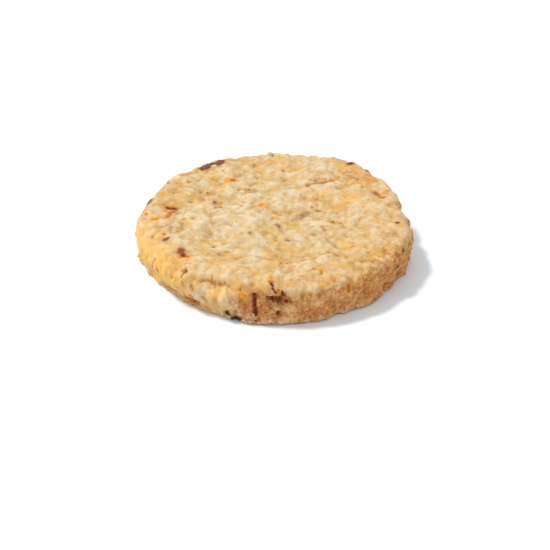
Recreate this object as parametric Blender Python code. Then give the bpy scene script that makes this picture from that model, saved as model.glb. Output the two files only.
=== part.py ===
"""Oat biscuit with dried cranberry and orange peel.

The biscuit is one solid. Its body is a low round cake of dough, shaped by
hand: a nearly flat top, a rounded upper rim, a rough wall and a flat
underside. Broad unevenness comes from lattice noise, and the larger hollows,
rises, cracks and pits are named below with their real sizes. The pieces of
cranberry, peel and oat that show are fused to the body.

Frame: origin at the middle of the underside, +X right, -Y front, +Z up.
Sizes below are in millimetres and bearings in degrees, with 0 along +X and
90 along +Y. The mesh itself is in metres.
"""

import math

import bmesh
import bpy
import numpy as np
from mathutils import Matrix, Vector
from mathutils.bvhtree import BVHTree

MM = 0.001

# ---------------------------------------------------------------- body sizes
RADIUS = 34.4           # mean reach of the rim
THICKNESS = 11.0        # underside to the flat of the top
RIM_INSET = 1.8         # how far in the rounded upper rim begins
RIM_DROP = 1.8          # how far down the rounded upper rim ends
# Sides that are rounded more: (bearing, half width, added inset, added drop).
SOFT_SIDES = [(208, 40, 3.9, 3.2), (246, 11, 1.7, 3.0), (92, 60, 1.5, 1.8), (358, 13, 1.9, 3.2)]
# Sides that the top sinks towards: (bearing, half width, height at the rim).
SUNK_SIDES = [(303, 36, -1.0)]
SINK_POWER = 3          # how late the top begins to sink on its way out
FOOT_ROUND = 1.2        # radius of the lower edge
FOOT_INSET = 0.6        # how far the foot lies inside the rim

# Uneven outline: (bearing, half width, reach).
RIM_LOBES = [
    (10, 12, -1.7), (57, 11, 1.9), (132, 11, 1.0), (157, 11, -1.4),
    (178, 8, 0.5), (203, 9, -0.5), (347, 10, 0.7),
]
FOOT_LOBES = [
    (220, 18, -1.8), (243, 14, -0.8), (333, 16, -1.0), (262, 6, -0.5),
    (290, 12, -0.4), (297, 3, -0.7), (306, 3, -0.6), (258, 4, 0.5),
]
RIM_RAGGED = (7.0, 0.25)     # cell and height of the rim's unevenness
FOOT_RAGGED = (4.5, 0.55)    # cell and height of the foot's unevenness

# ------------------------------------------------------------- mesh fineness
TOP_CELLS = 44
ARC_ROWS = 4
WALL_ROWS = 4
FOOT_ROWS = 2

# -------------------------------------------------------------------- relief
# Lattice noise on the top and on the wall: (cell, height).
TOP_NOISE = [(15.0, 0.60), (7.0, 0.45), (3.8, 0.22)]
WALL_NOISE = [(9.0, 0.55), (4.2, 0.38)]
FLAT_FOOT = 1.0              # relief fades out over this height
WALL_TO_TOP = (0.2, 0.85)    # upward share of the normal where the wall's relief turns into the top's

# Broad hollows (below zero) and rises of the top: (x, y, reach x, reach y, height).
TOP_SWELLS = [
    (-15.0, 7.0, 7.0, 4.0, -0.45), (4.0, 0.0, 8.0, 5.0, -0.50),
    (-17.0, -13.0, 9.0, 5.0, -0.40), (5.0, -17.0, 8.0, 4.0, -0.35),
    (-6.0, 16.0, 8.0, 3.0, -0.30), (26.5, 12.0, 2.6, 3.2, -0.70),
    (12.5, 12.0, 8.0, 4.5, 0.60), (24.0, -6.0, 7.0, 8.0, 0.35),
    (-2.0, -24.0, 10.0, 4.0, 0.30), (-20.0, 18.0, 8.0, 5.0, 0.30),
    (8.0, 24.0, 9.0, 4.0, 0.30), (-26.0, -4.0, 4.0, 8.0, 0.25),
]
# Cracks of the top: ((x, y) from, (x, y) to, half width, depth).
TOP_CRACKS = [
    ((8.5, 15.4), (11.5, 17.4), 1.3, 0.8), ((11.5, 17.4), (15.0, 18.8), 1.3, 0.6),
    ((25.7, 13.6), (28.6, 9.6), 1.2, 0.9), ((10.2, 3.6), (12.8, 1.6), 1.1, 0.5),
]
# Pits (below zero) and lumps of the wall: (bearing, height up, reach along, reach up, height).
WALL_SWELLS = [
    (271, 7.4, 2.2, 1.5, -1.5), (264, 8.0, 1.6, 1.2, -0.8), (272, 3.6, 1.8, 1.3, -0.7),
    (245, 9.7, 5.0, 1.0, -0.5), (246, 6.8, 4.5, 2.0, 0.5), (207, 5.0, 1.4, 3.2, -0.8),
    (230, 1.9, 4.5, 0.9, -0.6), (281, 5.5, 2.5, 2.0, 0.4), (328, 5.0, 1.5, 4.0, 0.4),
    (319, 6.0, 3.0, 2.5, -0.4), (20, 5.0, 3.5, 2.0, -0.5), (60, 4.5, 2.5, 1.8, -0.7),
    (98, 6.0, 3.0, 1.6, -0.6), (140, 5.0, 2.2, 2.4, -0.7), (168, 4.0, 3.0, 1.6, 0.4),
]

# ---------------------------------------------------------- pieces that show
STAND_OUT = 0.45        # how far a piece stands out of the crumb
LUMP_RINGS = 4
LUMP_SIDES = 6
LUMP_JITTER = 0.16      # unevenness of a piece, as a share of its size
CRANBERRY_DEPTH = 2.4
PEEL_DEPTH = 1.8
OAT_DEPTH = 1.4

# On the top: (x, y, length, width, bearing of its length).
TOP_CRANBERRIES = [
    (-18.0, 26.6, 3.0, 4.6, 20), (-14.2, 28.2, 4.4, 2.8, 0), (-23.2, -17.6, 2.6, 4.2, 100),
    (-25.6, 2.6, 3.2, 1.6, 165), (-26.8, -11.2, 2.2, 1.8, 0), (-0.6, -32.0, 1.8, 3.6, 110),
    (19.2, 27.2, 2.6, 1.6, 0), (23.6, 23.2, 2.2, 1.4, 150), (-30.8, 7.8, 2.0, 4.2, 75),
    (1.0, -4.8, 1.6, 2.4, 120), (30.2, -2.4, 1.6, 1.4, 0),
]
TOP_PEEL = [
    (-11.6, 18.3, 3.0, 1.4, 0), (-30.0, -2.2, 2.2, 1.4, 20), (-3.6, 5.8, 2.0, 1.0, 10),
    (15.4, 18.2, 1.6, 0.9, 0), (19.0, -14.7, 1.8, 1.0, 0), (11.0, -26.0, 1.2, 3.0, 90),
    (-1.2, -29.8, 1.5, 1.5, 0), (23.8, -20.6, 1.4, 1.0, 0),
]
# On the wall: (bearing, height up, length along, height).
WALL_CRANBERRIES = [
    (261.6, 5.3, 2.0, 6.2), (273.6, 8.4, 1.6, 1.8), (250.0, 1.9, 1.8, 2.2),
    (254.5, 1.2, 4.0, 1.4), (330.3, 7.0, 2.6, 1.6), (40.0, 4.5, 4.0, 3.0),
    (86.0, 5.0, 3.0, 3.4), (132.0, 3.4, 4.4, 2.2), (176.0, 6.0, 2.2, 2.4),
]
WALL_PEEL = [
    (254.7, 7.6, 2.2, 2.4), (259.0, 5.4, 1.6, 1.8), (301.0, 7.4, 1.6, 2.6),
    (313.4, 4.2, 1.4, 2.6), (70.0, 6.0, 2.2, 1.2), (112.0, 5.0, 1.8, 2.0),
]
OAT_SEED = 7
OAT_LENGTH = (3.0, 4.6)
OAT_WIDTH = (1.8, 2.6)
OATS_ON_TOP = 12
OATS_ON_WALL = 10
OAT_MARGIN = 2.0        # how far the oats stay from the edge of the flat top
OAT_LEVELS = (2.6, 6.6)
OAT_SHAKE = 13.0        # how far an oat may turn away from its even place, degrees

# Colour (linear), roughness.
CRUMB_COLOUR = (0.79, 0.56, 0.30)
CRUMB_ROUGHNESS = 0.85


# ------------------------------------------------------------------- helpers
def bearing_gap(bearing, centre):
    """Signed turn from centre to bearing, from -180 to 180 degrees."""
    return (bearing - centre + 180.0) % 360.0 - 180.0


def lobes(bearing, table):
    """Sum of the table's bell-shaped lobes at each bearing."""
    total = np.zeros_like(bearing)
    for centre, half_width, reach in table:
        total = total + reach * np.exp(-(bearing_gap(bearing, centre) / half_width) ** 2)
    return total


def smooth_ramp(value, low, high):
    """0 below low, 1 above high, with a smooth rise between."""
    share = np.clip((value - low) / (high - low), 0.0, 1.0)
    return share * share * (3.0 - 2.0 * share)


class LatticeNoise:
    """Gradient noise on a cubic lattice, about -1 to 1, the same on each run."""

    SIZE = 256
    GAIN = 1.6           # brings the noise to about -1 to 1

    def __init__(self, seed):
        draw = np.random.default_rng(seed)
        self.order = draw.permutation(self.SIZE)
        arrows = draw.normal(size=(self.SIZE, 3))
        self.arrows = arrows / np.linalg.norm(arrows, axis=1, keepdims=True)

    def at(self, points, cell):
        scaled = np.asarray(points) / cell
        corner = np.floor(scaled).astype(int)
        inside = scaled - corner
        blend = inside ** 3 * (inside * (inside * 6.0 - 15.0) + 10.0)
        total = np.zeros(len(scaled))
        for step in np.ndindex(2, 2, 2):
            node = (corner + step) % self.SIZE
            pick = self.order[(self.order[(self.order[node[:, 0]] + node[:, 1]) % self.SIZE]
                               + node[:, 2]) % self.SIZE]
            value = np.sum(self.arrows[pick] * (inside - step), axis=1)
            weight = np.prod(np.where(step, blend, 1.0 - blend), axis=1)
            total += weight * value
        return self.GAIN * total


OUTLINE_NOISE = LatticeNoise(11)
TOP_RELIEF_NOISE = LatticeNoise(23)
WALL_RELIEF_NOISE = LatticeNoise(31)


# ---------------------------------------------------------------- body shape
def ragged(bearing, level, cell, height):
    """Unevenness of an edge: noise read round a circle at the given level."""
    turn = np.radians(bearing)
    circle = np.stack([RADIUS * np.cos(turn), RADIUS * np.sin(turn),
                       np.full_like(turn, level)], axis=1)
    return height * OUTLINE_NOISE.at(circle, cell)


def rim_radius(bearing):
    return RADIUS + lobes(bearing, RIM_LOBES) + ragged(bearing, THICKNESS, *RIM_RAGGED)


def foot_radius(bearing):
    return (RADIUS - FOOT_INSET + lobes(bearing, RIM_LOBES) + lobes(bearing, FOOT_LOBES)
            + ragged(bearing, 0.0, *FOOT_RAGGED))


def rim_height(bearing):
    """Height of the rounded rim's start, where the top ends."""
    return THICKNESS + lobes(bearing, SUNK_SIDES)


def rim_rounding(bearing):
    """Inset and drop of the rounded upper rim."""
    inset = lobes(bearing, [(centre, wide, more) for centre, wide, more, _ in SOFT_SIDES])
    drop = lobes(bearing, [(centre, wide, more) for centre, wide, _, more in SOFT_SIDES])
    return RIM_INSET + inset, RIM_DROP + drop


def edge_profile(bearing, row):
    """Radius and height of one row of the edge, from the flat top to the underside.

    The first rows follow a quarter ellipse, the next a wall that leans in
    towards the foot, and the last a quarter circle down to the underside.
    """
    inset, drop = rim_rounding(bearing)
    rim = rim_radius(bearing)
    foot = foot_radius(bearing)
    tall = rim_height(bearing)
    wall_top = tall - drop
    if row <= ARC_ROWS:
        turn = 0.5 * math.pi * row / ARC_ROWS
        return rim - inset * (1.0 - math.sin(turn)), tall - drop * (1.0 - math.cos(turn))
    if row <= ARC_ROWS + WALL_ROWS:
        share = (row - ARC_ROWS) / WALL_ROWS
        lean = share * share * (3.0 - 2.0 * share)
        return rim + (foot - rim) * lean, wall_top + (FOOT_ROUND - wall_top) * share
    turn = 0.5 * math.pi * (row - ARC_ROWS - WALL_ROWS) / FOOT_ROWS
    radius = foot - FOOT_ROUND * (1.0 - math.cos(turn))
    return radius, np.full_like(bearing, FOOT_ROUND * (1.0 - math.sin(turn)))


def square_to_disc(square):
    """Unit radius and bearing of points of a square, whose rings become circles."""
    u, v = square[:, 0], square[:, 1]
    ring = np.maximum(np.abs(u), np.abs(v))
    safe_u = np.where(np.abs(u) < 1e-9, 1e-9, u)
    safe_v = np.where(np.abs(v) < 1e-9, 1e-9, v)
    quarter = np.where(np.abs(u) >= np.abs(v), v / safe_u, 2.0 - u / safe_v)
    turn = 45.0 * quarter
    behind = np.where(np.abs(u) >= np.abs(v), u < 0.0, v < 0.0)
    return ring, turn + 180.0 * behind


def polar(radius, bearing, height):
    turn = np.radians(bearing)
    return np.stack([radius * np.cos(turn), radius * np.sin(turn), height], axis=1)


def add_row(mesh, border, row):
    """Extrude the border edges and move the new corners to the next row."""
    made = bmesh.ops.extrude_edge_only(mesh, edges=border)["geom"]
    corners = [item for item in made if isinstance(item, bmesh.types.BMVert)]
    plan = np.array([corner.co for corner in corners])
    bearing = np.degrees(np.arctan2(plan[:, 1], plan[:, 0]))
    radius, height = edge_profile(bearing, row)
    for corner, place in zip(corners, polar(radius, bearing, height)):
        corner.co = place
    return [item for item in made if isinstance(item, bmesh.types.BMEdge) and item.is_boundary]


def smooth_body():
    """The body without relief: a disc of quads, a rounded edge and one flat face below."""
    mesh = bmesh.new()
    bmesh.ops.create_grid(mesh, x_segments=TOP_CELLS, y_segments=TOP_CELLS, size=1.0)
    ring, bearing = square_to_disc(np.array([corner.co for corner in mesh.verts]))
    inset, _ = rim_rounding(bearing)
    flat = rim_radius(bearing) - inset
    height = THICKNESS + ring ** SINK_POWER * (rim_height(bearing) - THICKNESS)
    places = polar(ring * flat, bearing, height)
    for corner, place in zip(mesh.verts, places):
        corner.co = place
    border = [edge for edge in mesh.edges if edge.is_boundary]
    for row in range(1, ARC_ROWS + WALL_ROWS + FOOT_ROWS + 1):
        border = add_row(mesh, border, row)
    bmesh.ops.contextual_create(mesh, geom=border)
    bmesh.ops.recalc_face_normals(mesh, faces=mesh.faces)
    return mesh


# -------------------------------------------------------------------- relief
def segment_distance(plan, start, end):
    """Distance in plan from each point to the segment from start to end."""
    start = np.array(start)
    along = np.array(end) - start
    share = np.clip((plan - start) @ along / (along @ along), 0.0, 1.0)
    return np.linalg.norm(plan - start - share[:, None] * along, axis=1)


def top_relief(points):
    """Height of the top's unevenness: noise, broad swells and cracks."""
    plan = points[:, :2]
    height = sum(tall * TOP_RELIEF_NOISE.at(points, cell) for cell, tall in TOP_NOISE)
    for x, y, reach_x, reach_y, tall in TOP_SWELLS:
        away = ((plan[:, 0] - x) / reach_x) ** 2 + ((plan[:, 1] - y) / reach_y) ** 2
        height = height + tall * np.exp(-away)
    for start, end, half_width, depth in TOP_CRACKS:
        away = segment_distance(plan, start, end) / half_width
        height = height - depth * np.exp(-away ** 2)
    return height


def wall_relief(points):
    """Outward reach of the wall's unevenness: noise, pits and lumps."""
    reach = sum(tall * WALL_RELIEF_NOISE.at(points, cell) for cell, tall in WALL_NOISE)
    bearing = np.degrees(np.arctan2(points[:, 1], points[:, 0]))
    for centre, level, reach_along, reach_up, tall in WALL_SWELLS:
        along = np.radians(bearing_gap(bearing, centre)) * RADIUS / reach_along
        up = (points[:, 2] - level) / reach_up
        reach = reach + tall * np.exp(-along ** 2 - up ** 2)
    return reach


def add_relief(mesh):
    """Move each corner along its normal; the underside stays flat."""
    mesh.normal_update()
    points = np.array([corner.co for corner in mesh.verts])
    normals = np.array([corner.normal for corner in mesh.verts])
    facing_up = smooth_ramp(normals[:, 2], *WALL_TO_TOP)
    offset = facing_up * top_relief(points) + (1.0 - facing_up) * wall_relief(points)
    offset = offset * smooth_ramp(points[:, 2], 0.0, FLAT_FOOT)
    moved = points + offset[:, None] * normals
    for corner, place in zip(mesh.verts, moved):
        corner.co = place


# --------------------------------------------------------------- small pieces
def surface_frame(tree, start, towards):
    """The point where a ray meets the body, and the body's normal there."""
    place, normal, _, _ = tree.ray_cast(Vector(start), Vector(towards))
    return place, normal


def lump(name, place, normal, along, sizes, draw):
    """A small uneven lump: sizes are its full length, width and depth.

    Its middle lies below the surface, so that it stands out by STAND_OUT.
    """
    mesh = bmesh.new()
    bmesh.ops.create_uvsphere(mesh, u_segments=LUMP_SIDES, v_segments=LUMP_RINGS, radius=0.5)
    for corner in mesh.verts:
        shake = 1.0 + LUMP_JITTER * draw.uniform(-1.0, 1.0)
        corner.co = Vector([corner.co[axis] * sizes[axis] * shake for axis in range(3)])
    side = normal.cross(along).normalized()
    length_way = side.cross(normal)
    turn = Matrix((length_way, side, normal)).transposed()
    middle = place - normal * (0.5 * sizes[2] - STAND_OUT)
    for corner in mesh.verts:
        corner.co = middle + turn @ corner.co
    return mesh_object(name, mesh)


def top_pieces(tree, table, depth, draw):
    made = []
    for x, y, length, width, bearing in table:
        place, normal = surface_frame(tree, (x, y, 2.0 * THICKNESS), (0, 0, -1))
        turn = math.radians(bearing)
        along = Vector((math.cos(turn), math.sin(turn), 0.0))
        made.append(lump("piece", place, normal, along, (length, width, depth), draw))
    return made


def wall_pieces(tree, table, depth, draw):
    made = []
    for bearing, level, length, tall in table:
        turn = math.radians(bearing)
        outward = Vector((math.cos(turn), math.sin(turn), 0.0))
        start = outward * 2.0 * RADIUS + Vector((0, 0, level))
        place, normal = surface_frame(tree, start, -outward)
        normal = (normal + outward).normalized()
        along = Vector((0, 0, 1)).cross(normal)
        made.append(lump("piece", place, normal, along, (length, tall, depth), draw))
    return made


def oat_tables(draw):
    """Places for the oat flakes: spread evenly by the golden angle, then shaken."""
    golden = 180.0 * (3.0 - math.sqrt(5.0))
    on_top = []
    for index in range(OATS_ON_TOP):
        reach = (RADIUS - RIM_INSET - OAT_MARGIN) * math.sqrt((index + 0.5) / OATS_ON_TOP)
        turn = math.radians(golden * index + draw.uniform(-OAT_SHAKE, OAT_SHAKE))
        on_top.append((reach * math.cos(turn), reach * math.sin(turn),
                       draw.uniform(*OAT_LENGTH), draw.uniform(*OAT_WIDTH),
                       draw.uniform(0.0, 180.0)))
    on_wall = []
    for index in range(OATS_ON_WALL):
        bearing = 360.0 * index / OATS_ON_WALL + draw.uniform(-OAT_SHAKE, OAT_SHAKE)
        on_wall.append((bearing, draw.uniform(*OAT_LEVELS), draw.uniform(*OAT_LENGTH),
                        draw.uniform(*OAT_WIDTH)))
    return on_top, on_wall


def small_pieces(tree):
    """All the pieces that show, as closed lumps half sunk in the body."""
    draw = np.random.default_rng(OAT_SEED)
    oats_on_top, oats_on_wall = oat_tables(draw)
    made = []
    for on_top, on_wall, depth in [(TOP_CRANBERRIES, WALL_CRANBERRIES, CRANBERRY_DEPTH),
                                   (TOP_PEEL, WALL_PEEL, PEEL_DEPTH),
                                   (oats_on_top, oats_on_wall, OAT_DEPTH)]:
        made += top_pieces(tree, on_top, depth, draw)
        made += wall_pieces(tree, on_wall, depth, draw)
    return made


# ------------------------------------------------------------------ assembly
def mesh_object(name, mesh):
    """A scene object from a bmesh, which is freed."""
    data = bpy.data.meshes.new(name)
    mesh.to_mesh(data)
    mesh.free()
    thing = bpy.data.objects.new(name, data)
    bpy.context.scene.collection.objects.link(thing)
    return thing


def fuse(body, pieces):
    """Join the pieces to the body with one Boolean union, and remove them."""
    group = bpy.data.collections.new("pieces")
    bpy.context.scene.collection.children.link(group)
    for piece in pieces:
        bpy.context.scene.collection.objects.unlink(piece)
        group.objects.link(piece)
    union = body.modifiers.new("union", "BOOLEAN")
    union.operation = "UNION"
    union.solver = "EXACT"
    union.operand_type = "COLLECTION"
    union.collection = group
    bpy.context.view_layer.update()
    evaluated = body.evaluated_get(bpy.context.evaluated_depsgraph_get())
    fused = bpy.data.meshes.new_from_object(evaluated)
    body.modifiers.remove(union)
    body.data = fused
    for piece in pieces:
        bpy.data.objects.remove(piece)
    bpy.data.collections.remove(group)


def centre_and_scale(body):
    """Put the middle of the box at X = Y = 0 and turn millimetres into metres."""
    corners = np.array([corner.co for corner in body.data.vertices])
    middle = 0.5 * (corners.min(axis=0) + corners.max(axis=0))
    shift = Matrix.Translation((-middle[0], -middle[1], 0.0))
    body.data.transform(Matrix.Scale(MM, 4) @ shift)


def crumb_material():
    material = bpy.data.materials.new("baked_crumb")
    material.use_nodes = True
    shader = material.node_tree.nodes["Principled BSDF"]
    shader.inputs["Base Color"].default_value = (*CRUMB_COLOUR, 1.0)
    shader.inputs["Roughness"].default_value = CRUMB_ROUGHNESS
    shader.inputs["Metallic"].default_value = 0.0
    return material


def main():
    for thing in list(bpy.data.objects):
        bpy.data.objects.remove(thing)
    mesh = smooth_body()
    add_relief(mesh)
    tree = BVHTree.FromBMesh(mesh)
    body = mesh_object("biscuit", mesh)
    fuse(body, small_pieces(tree))
    centre_and_scale(body)
    body.data.shade_smooth()
    body.data.materials.clear()
    body.data.materials.append(crumb_material())


main()
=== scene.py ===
"""Oat biscuit with dried cranberry and orange peel: its finished surfaces.

The biscuit's body is one closed surface over two parameters: the bearing
round the biscuit, and the run from the middle of the top, over the rounded
rim, down the wall, round the foot and in to the middle of the underside.
Pieces of cranberry, peel and oat and loose crumbs are small closed lumps
that are wrapped on to that surface. Sizes are in millimetres and bearings
in degrees until a mesh is made, which is in metres.
"""

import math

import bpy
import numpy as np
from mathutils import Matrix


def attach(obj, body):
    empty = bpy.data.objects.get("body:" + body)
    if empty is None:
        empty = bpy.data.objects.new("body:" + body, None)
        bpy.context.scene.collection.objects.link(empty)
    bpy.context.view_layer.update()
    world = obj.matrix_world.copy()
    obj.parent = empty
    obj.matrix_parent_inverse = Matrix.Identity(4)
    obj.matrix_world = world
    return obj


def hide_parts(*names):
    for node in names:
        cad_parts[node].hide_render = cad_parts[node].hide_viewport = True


bl_info = {
    "name": "Oat Biscuit",
    "version": (1, 0, 0),
    "blender": (4, 5, 0),
    "location": "View3D > Sidebar > Biscuit",
    "description": "Makes an oat biscuit with cranberry, peel and oat pieces",
    "category": "Add Mesh",
}

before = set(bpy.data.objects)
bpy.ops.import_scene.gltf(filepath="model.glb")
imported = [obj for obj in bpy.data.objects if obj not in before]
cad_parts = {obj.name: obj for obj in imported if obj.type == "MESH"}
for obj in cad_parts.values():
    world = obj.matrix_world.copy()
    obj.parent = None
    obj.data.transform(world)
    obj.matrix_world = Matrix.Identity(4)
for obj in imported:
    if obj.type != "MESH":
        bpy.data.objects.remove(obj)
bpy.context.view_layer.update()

NODE = "biscuit"
BODY = "root"
MM = 0.001

# ---------------------------------------------------------------- body sizes
RADIUS = 34.4
THICKNESS = 11.0
RIM_INSET = 1.8
RIM_DROP = 1.8
# Sides that are rounded more: (bearing, half width, added inset, added drop).
SOFT_SIDES = [(208, 40, 3.9, 3.2), (246, 11, 1.7, 3.0), (92, 60, 1.5, 1.8), (358, 13, 1.9, 3.2)]
# Sides that the top sinks towards: (bearing, half width, height at the rim).
SUNK_SIDES = [(303, 36, -1.0)]
SINK_POWER = 3
FOOT_ROUND = 1.2
FOOT_INSET = 0.6
BOX_MIDDLE = (-0.38, -0.145, 0.0)   # middle of the uneven outline's box, moved to X = Y = 0

# Uneven outline: (bearing, half width, reach).
RIM_LOBES = [
    (10, 12, -1.7), (57, 11, 1.9), (132, 11, 1.0), (157, 11, -1.4),
    (178, 8, 0.5), (203, 9, -0.5), (347, 10, 0.7),
]
FOOT_LOBES = [
    (220, 18, -1.8), (243, 14, -0.8), (333, 16, -1.0), (262, 6, -0.5),
    (290, 12, -0.4), (297, 3, -0.7), (306, 3, -0.6), (258, 4, 0.5),
]
RIM_RAGGED = [(7.0, 0.25), (3.0, 0.10), (1.4, 0.08)]
RIM_UNEVEN = [(9.0, 0.22), (4.0, 0.15)]     # cell and share that the rounding varies by
FOOT_RAGGED = [(4.5, 0.55), (1.7, 0.40), (0.9, 0.18)]

# The stretches of the run: 0 to 1 is the flat top, and each next 1 is the
# rounded rim, the wall, the foot's curve and the underside.
RIM_START, WALL_START, FOOT_START, UNDER_START, UNDER_END = 1.0, 2.0, 3.0, 4.0, 5.0
RUN_STEP = 0.004                 # how far apart the profile is read for its direction
FACING_UP = (0.2, 0.85)          # upward part of the normal where wall turns into top
UNDER_FADE = 0.06                # run over which the underside's fine relief begins
FAR = 9.0                        # distance in cells or half lengths that nothing reaches over

# ------------------------------------------------------------- mesh fineness
TOP_CELLS = 200
RIM_ROWS = 17
WALL_ROWS = 19
FOOT_ROWS = 6
UNDER_ROWS = 20

# -------------------------------------------------------------------- relief
# Lattice noise: (cell, height). The broad ones are the solid's own.
TOP_NOISE = [(15.0, 0.60), (7.0, 0.45), (3.8, 0.22)]
WALL_NOISE = [(9.0, 0.55), (4.2, 0.38)]
TOP_FINE = [(2.4, 0.18), (1.3, 0.13), (0.8, 0.07)]
WALL_FINE = [(2.4, 0.15), (1.3, 0.26), (0.75, 0.24)]
TOP_FLAKES = [(4.2, 0.15), (2.2, 0.12)]     # cell and height of flat-topped flakes
WALL_FLAKES = [(3.0, 0.12), (1.6, 0.14)]
WALL_GRAIN = (1.0, 1.0, 0.5)    # the wall's fine relief is drawn out upwards
FLAKE_EDGE = 4.5                # how steep a flake's edge is
WANDER_NOISE = [(2.2, 0.45), (0.9, 0.45)]   # bends the edges of cracks, holes and stains
CRUMB_SHADE_GRAINS = [(0.72, -0.39, 0.31), (2.4, -0.26, 0.22)]    # painted shade between the open crumbs and painted light on them: size, dark, light
CRUMB_DRAWN = (1.0, 1.0, 0.85)  # how the open crumb is drawn out upwards
SHADE_WARMTH = (0.62, 0.95, 1.50)    # how strongly the painted light and shade vary its red, green and blue
UNDER_FINE = [(6.0, 0.20), (2.0, 0.16), (1.0, 0.10)]
TOP_CRUMBS = (1.9, 0.15)        # cell and height of the rounded crumbs
WALL_CRUMBS = (1.3, 0.16)
CRUMB_RISE = 0.6                # a crumb's share of its height at its middle
CRUMB_FALL = 1.6                # how fast it falls, by the square of the distance in cells
TOP_PORES = (4.2, 0.12, 0.40)   # cell, share of the cell that a pore takes, depth
WALL_PORES = (2.8, 0.17, 0.65)
PORE_LEAST = 0.4                # the smallest pore's share of that size
PORE_SPREAD = 1.2               # how far the others go over it, in this many steps
PORE_SIZES = 7
PORE_BARE = 3                   # one in this many seed points has no pore
FLANK = [(203, 44, 1.0)]        # the smoother side: bearing, half width, share
FLANK_SMOOTH = 0.15             # share of the fine relief that it lacks
FLANK_BARE = 1.1                # share of the loose crumbs that it lacks, all of them above 1
FOOT_LIP = [(290, 36, 1.0)]     # crumbly lip of the foot: bearing, half width, share
LIP_LEVEL = 0.9                 # height of its middle
LIP_REACH = 0.6                 # half its height
LIP_OUT = 0.38                  # how far it stands out
LIP_NOISE = [(1.6, 0.9), (0.8, 0.5)]
FLAT_FOOT = 1.0                 # height up to which the relief fades in from the underside
SEAM_BAND = (8.0, 6.0)          # how far inside the radius seams and holes fade in

# Broad hollows (below zero) and rises of the top: (x, y, reach x, reach y, height).
TOP_SWELLS = [
    (-15.0, 7.0, 7.0, 4.0, -0.45), (4.0, 0.0, 8.0, 5.0, -0.50),
    (-17.0, -13.0, 9.0, 5.0, -0.40), (5.0, -17.0, 8.0, 4.0, -0.35),
    (-6.0, 16.0, 8.0, 3.0, -0.30), (26.5, 12.0, 2.6, 3.2, -0.70),
    (12.5, 12.0, 8.0, 4.5, 0.60), (24.0, -6.0, 7.0, 8.0, 0.35),
    (-2.0, -24.0, 10.0, 4.0, 0.30), (-20.0, 18.0, 8.0, 5.0, 0.30),
    (8.0, 24.0, 9.0, 4.0, 0.30), (-26.0, -4.0, 4.0, 8.0, 0.25),
]
# Cracks of the top: ((x, y) from, (x, y) to, half width, depth).
TOP_CRACKS = [
    ((8.5, 15.4), (11.5, 17.0), 0.60, 0.8), ((11.5, 17.0), (14.4, 18.0), 0.60, 0.7),
    ((25.7, 13.4), (27.6, 10.4), 0.46, 0.7), ((27.6, 10.4), (30.4, 10.5), 0.36, 0.5),
    ((10.5, 3.3), (12.5, 1.8), 0.40, 0.6), ((-9.0, 14.1), (-6.8, 14.1), 0.50, 0.6),
    ((0.7, -4.3), (2.2, -10.7), 0.34, 0.15), ((2.2, -10.7), (5.2, -12.2), 0.40, 0.16),
]
# Pits (below zero) and lumps of the wall: (bearing, height up, reach along, reach up, height).
WALL_SWELLS = [
    (271, 7.4, 2.2, 1.5, -1.5), (264, 8.0, 1.6, 1.2, -0.8), (272, 3.6, 1.8, 1.3, -0.7),
    (245, 9.7, 5.0, 1.0, -0.5), (246, 6.8, 4.5, 2.0, 0.5), (207, 5.0, 1.4, 3.2, -0.8),
    (230, 1.9, 4.5, 0.9, -0.6), (281, 5.5, 2.5, 2.0, 0.4), (328, 5.0, 1.5, 4.0, 0.4),
    (319, 6.0, 3.0, 2.5, -0.4), (20, 5.0, 3.5, 2.0, -0.5), (60, 4.5, 2.5, 1.8, -0.7),
    (98, 6.0, 3.0, 1.6, -0.6), (140, 5.0, 2.2, 2.4, -0.7), (168, 4.0, 3.0, 1.6, 0.4),
]

# Seams of the rim and wall: ((bearing, height) from, to, half width, depth).
RIM_SEAMS = [
    ((237.0, 8.9), (240.5, 9.5), 0.24, 0.5), ((240.5, 9.5), (244.5, 9.2), 0.28, 0.7),
    ((244.5, 9.2), (248.5, 9.5), 0.26, 0.6), ((248.5, 9.5), (252.5, 9.0), 0.22, 0.5),
    ((228.5, 9.9), (228.1, 8.5), 0.26, 0.6), ((226.2, 9.6), (230.4, 10.0), 0.22, 0.5),
    ((239.0, 9.6), (238.2, 10.4), 0.22, 0.4), ((242.6, 9.4), (241.8, 10.5), 0.22, 0.4),
    ((208.0, 8.1), (204.4, 3.0), 0.36, 0.6), ((227.3, 1.8), (234.2, 1.7), 0.3, 0.5),
    ((262.0, 8.8), (262.2, 2.0), 0.5, 0.30),
]
# Small holes of the wall: (bearing, height up, reach along, reach up, depth).
WALL_HOLES = [
    (270.9, 7.2, 1.5, 0.85, 1.1), (267.2, 7.8, 0.6, 0.30, 0.8), (272.9, 6.2, 0.7, 0.30, 0.7),
    (271.1, 3.2, 0.6, 0.55, 0.9), (276.0, 6.8, 0.4, 0.30, 0.4), (296.3, 1.5, 0.6, 0.7, 0.5),
    (305.9, 1.0, 0.6, 0.6, 0.5), (283.6, 3.4, 0.35, 0.3, 0.4), (317.0, 3.2, 0.5, 0.4, 0.4),
    (228.6, 9.8, 0.4, 0.30, 0.6), (26.0, 6.4, 0.7, 0.5, 0.6), (118.0, 3.2, 0.8, 0.5, 0.6),
    (160.0, 2.6, 0.7, 0.5, 0.5),
]
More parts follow.
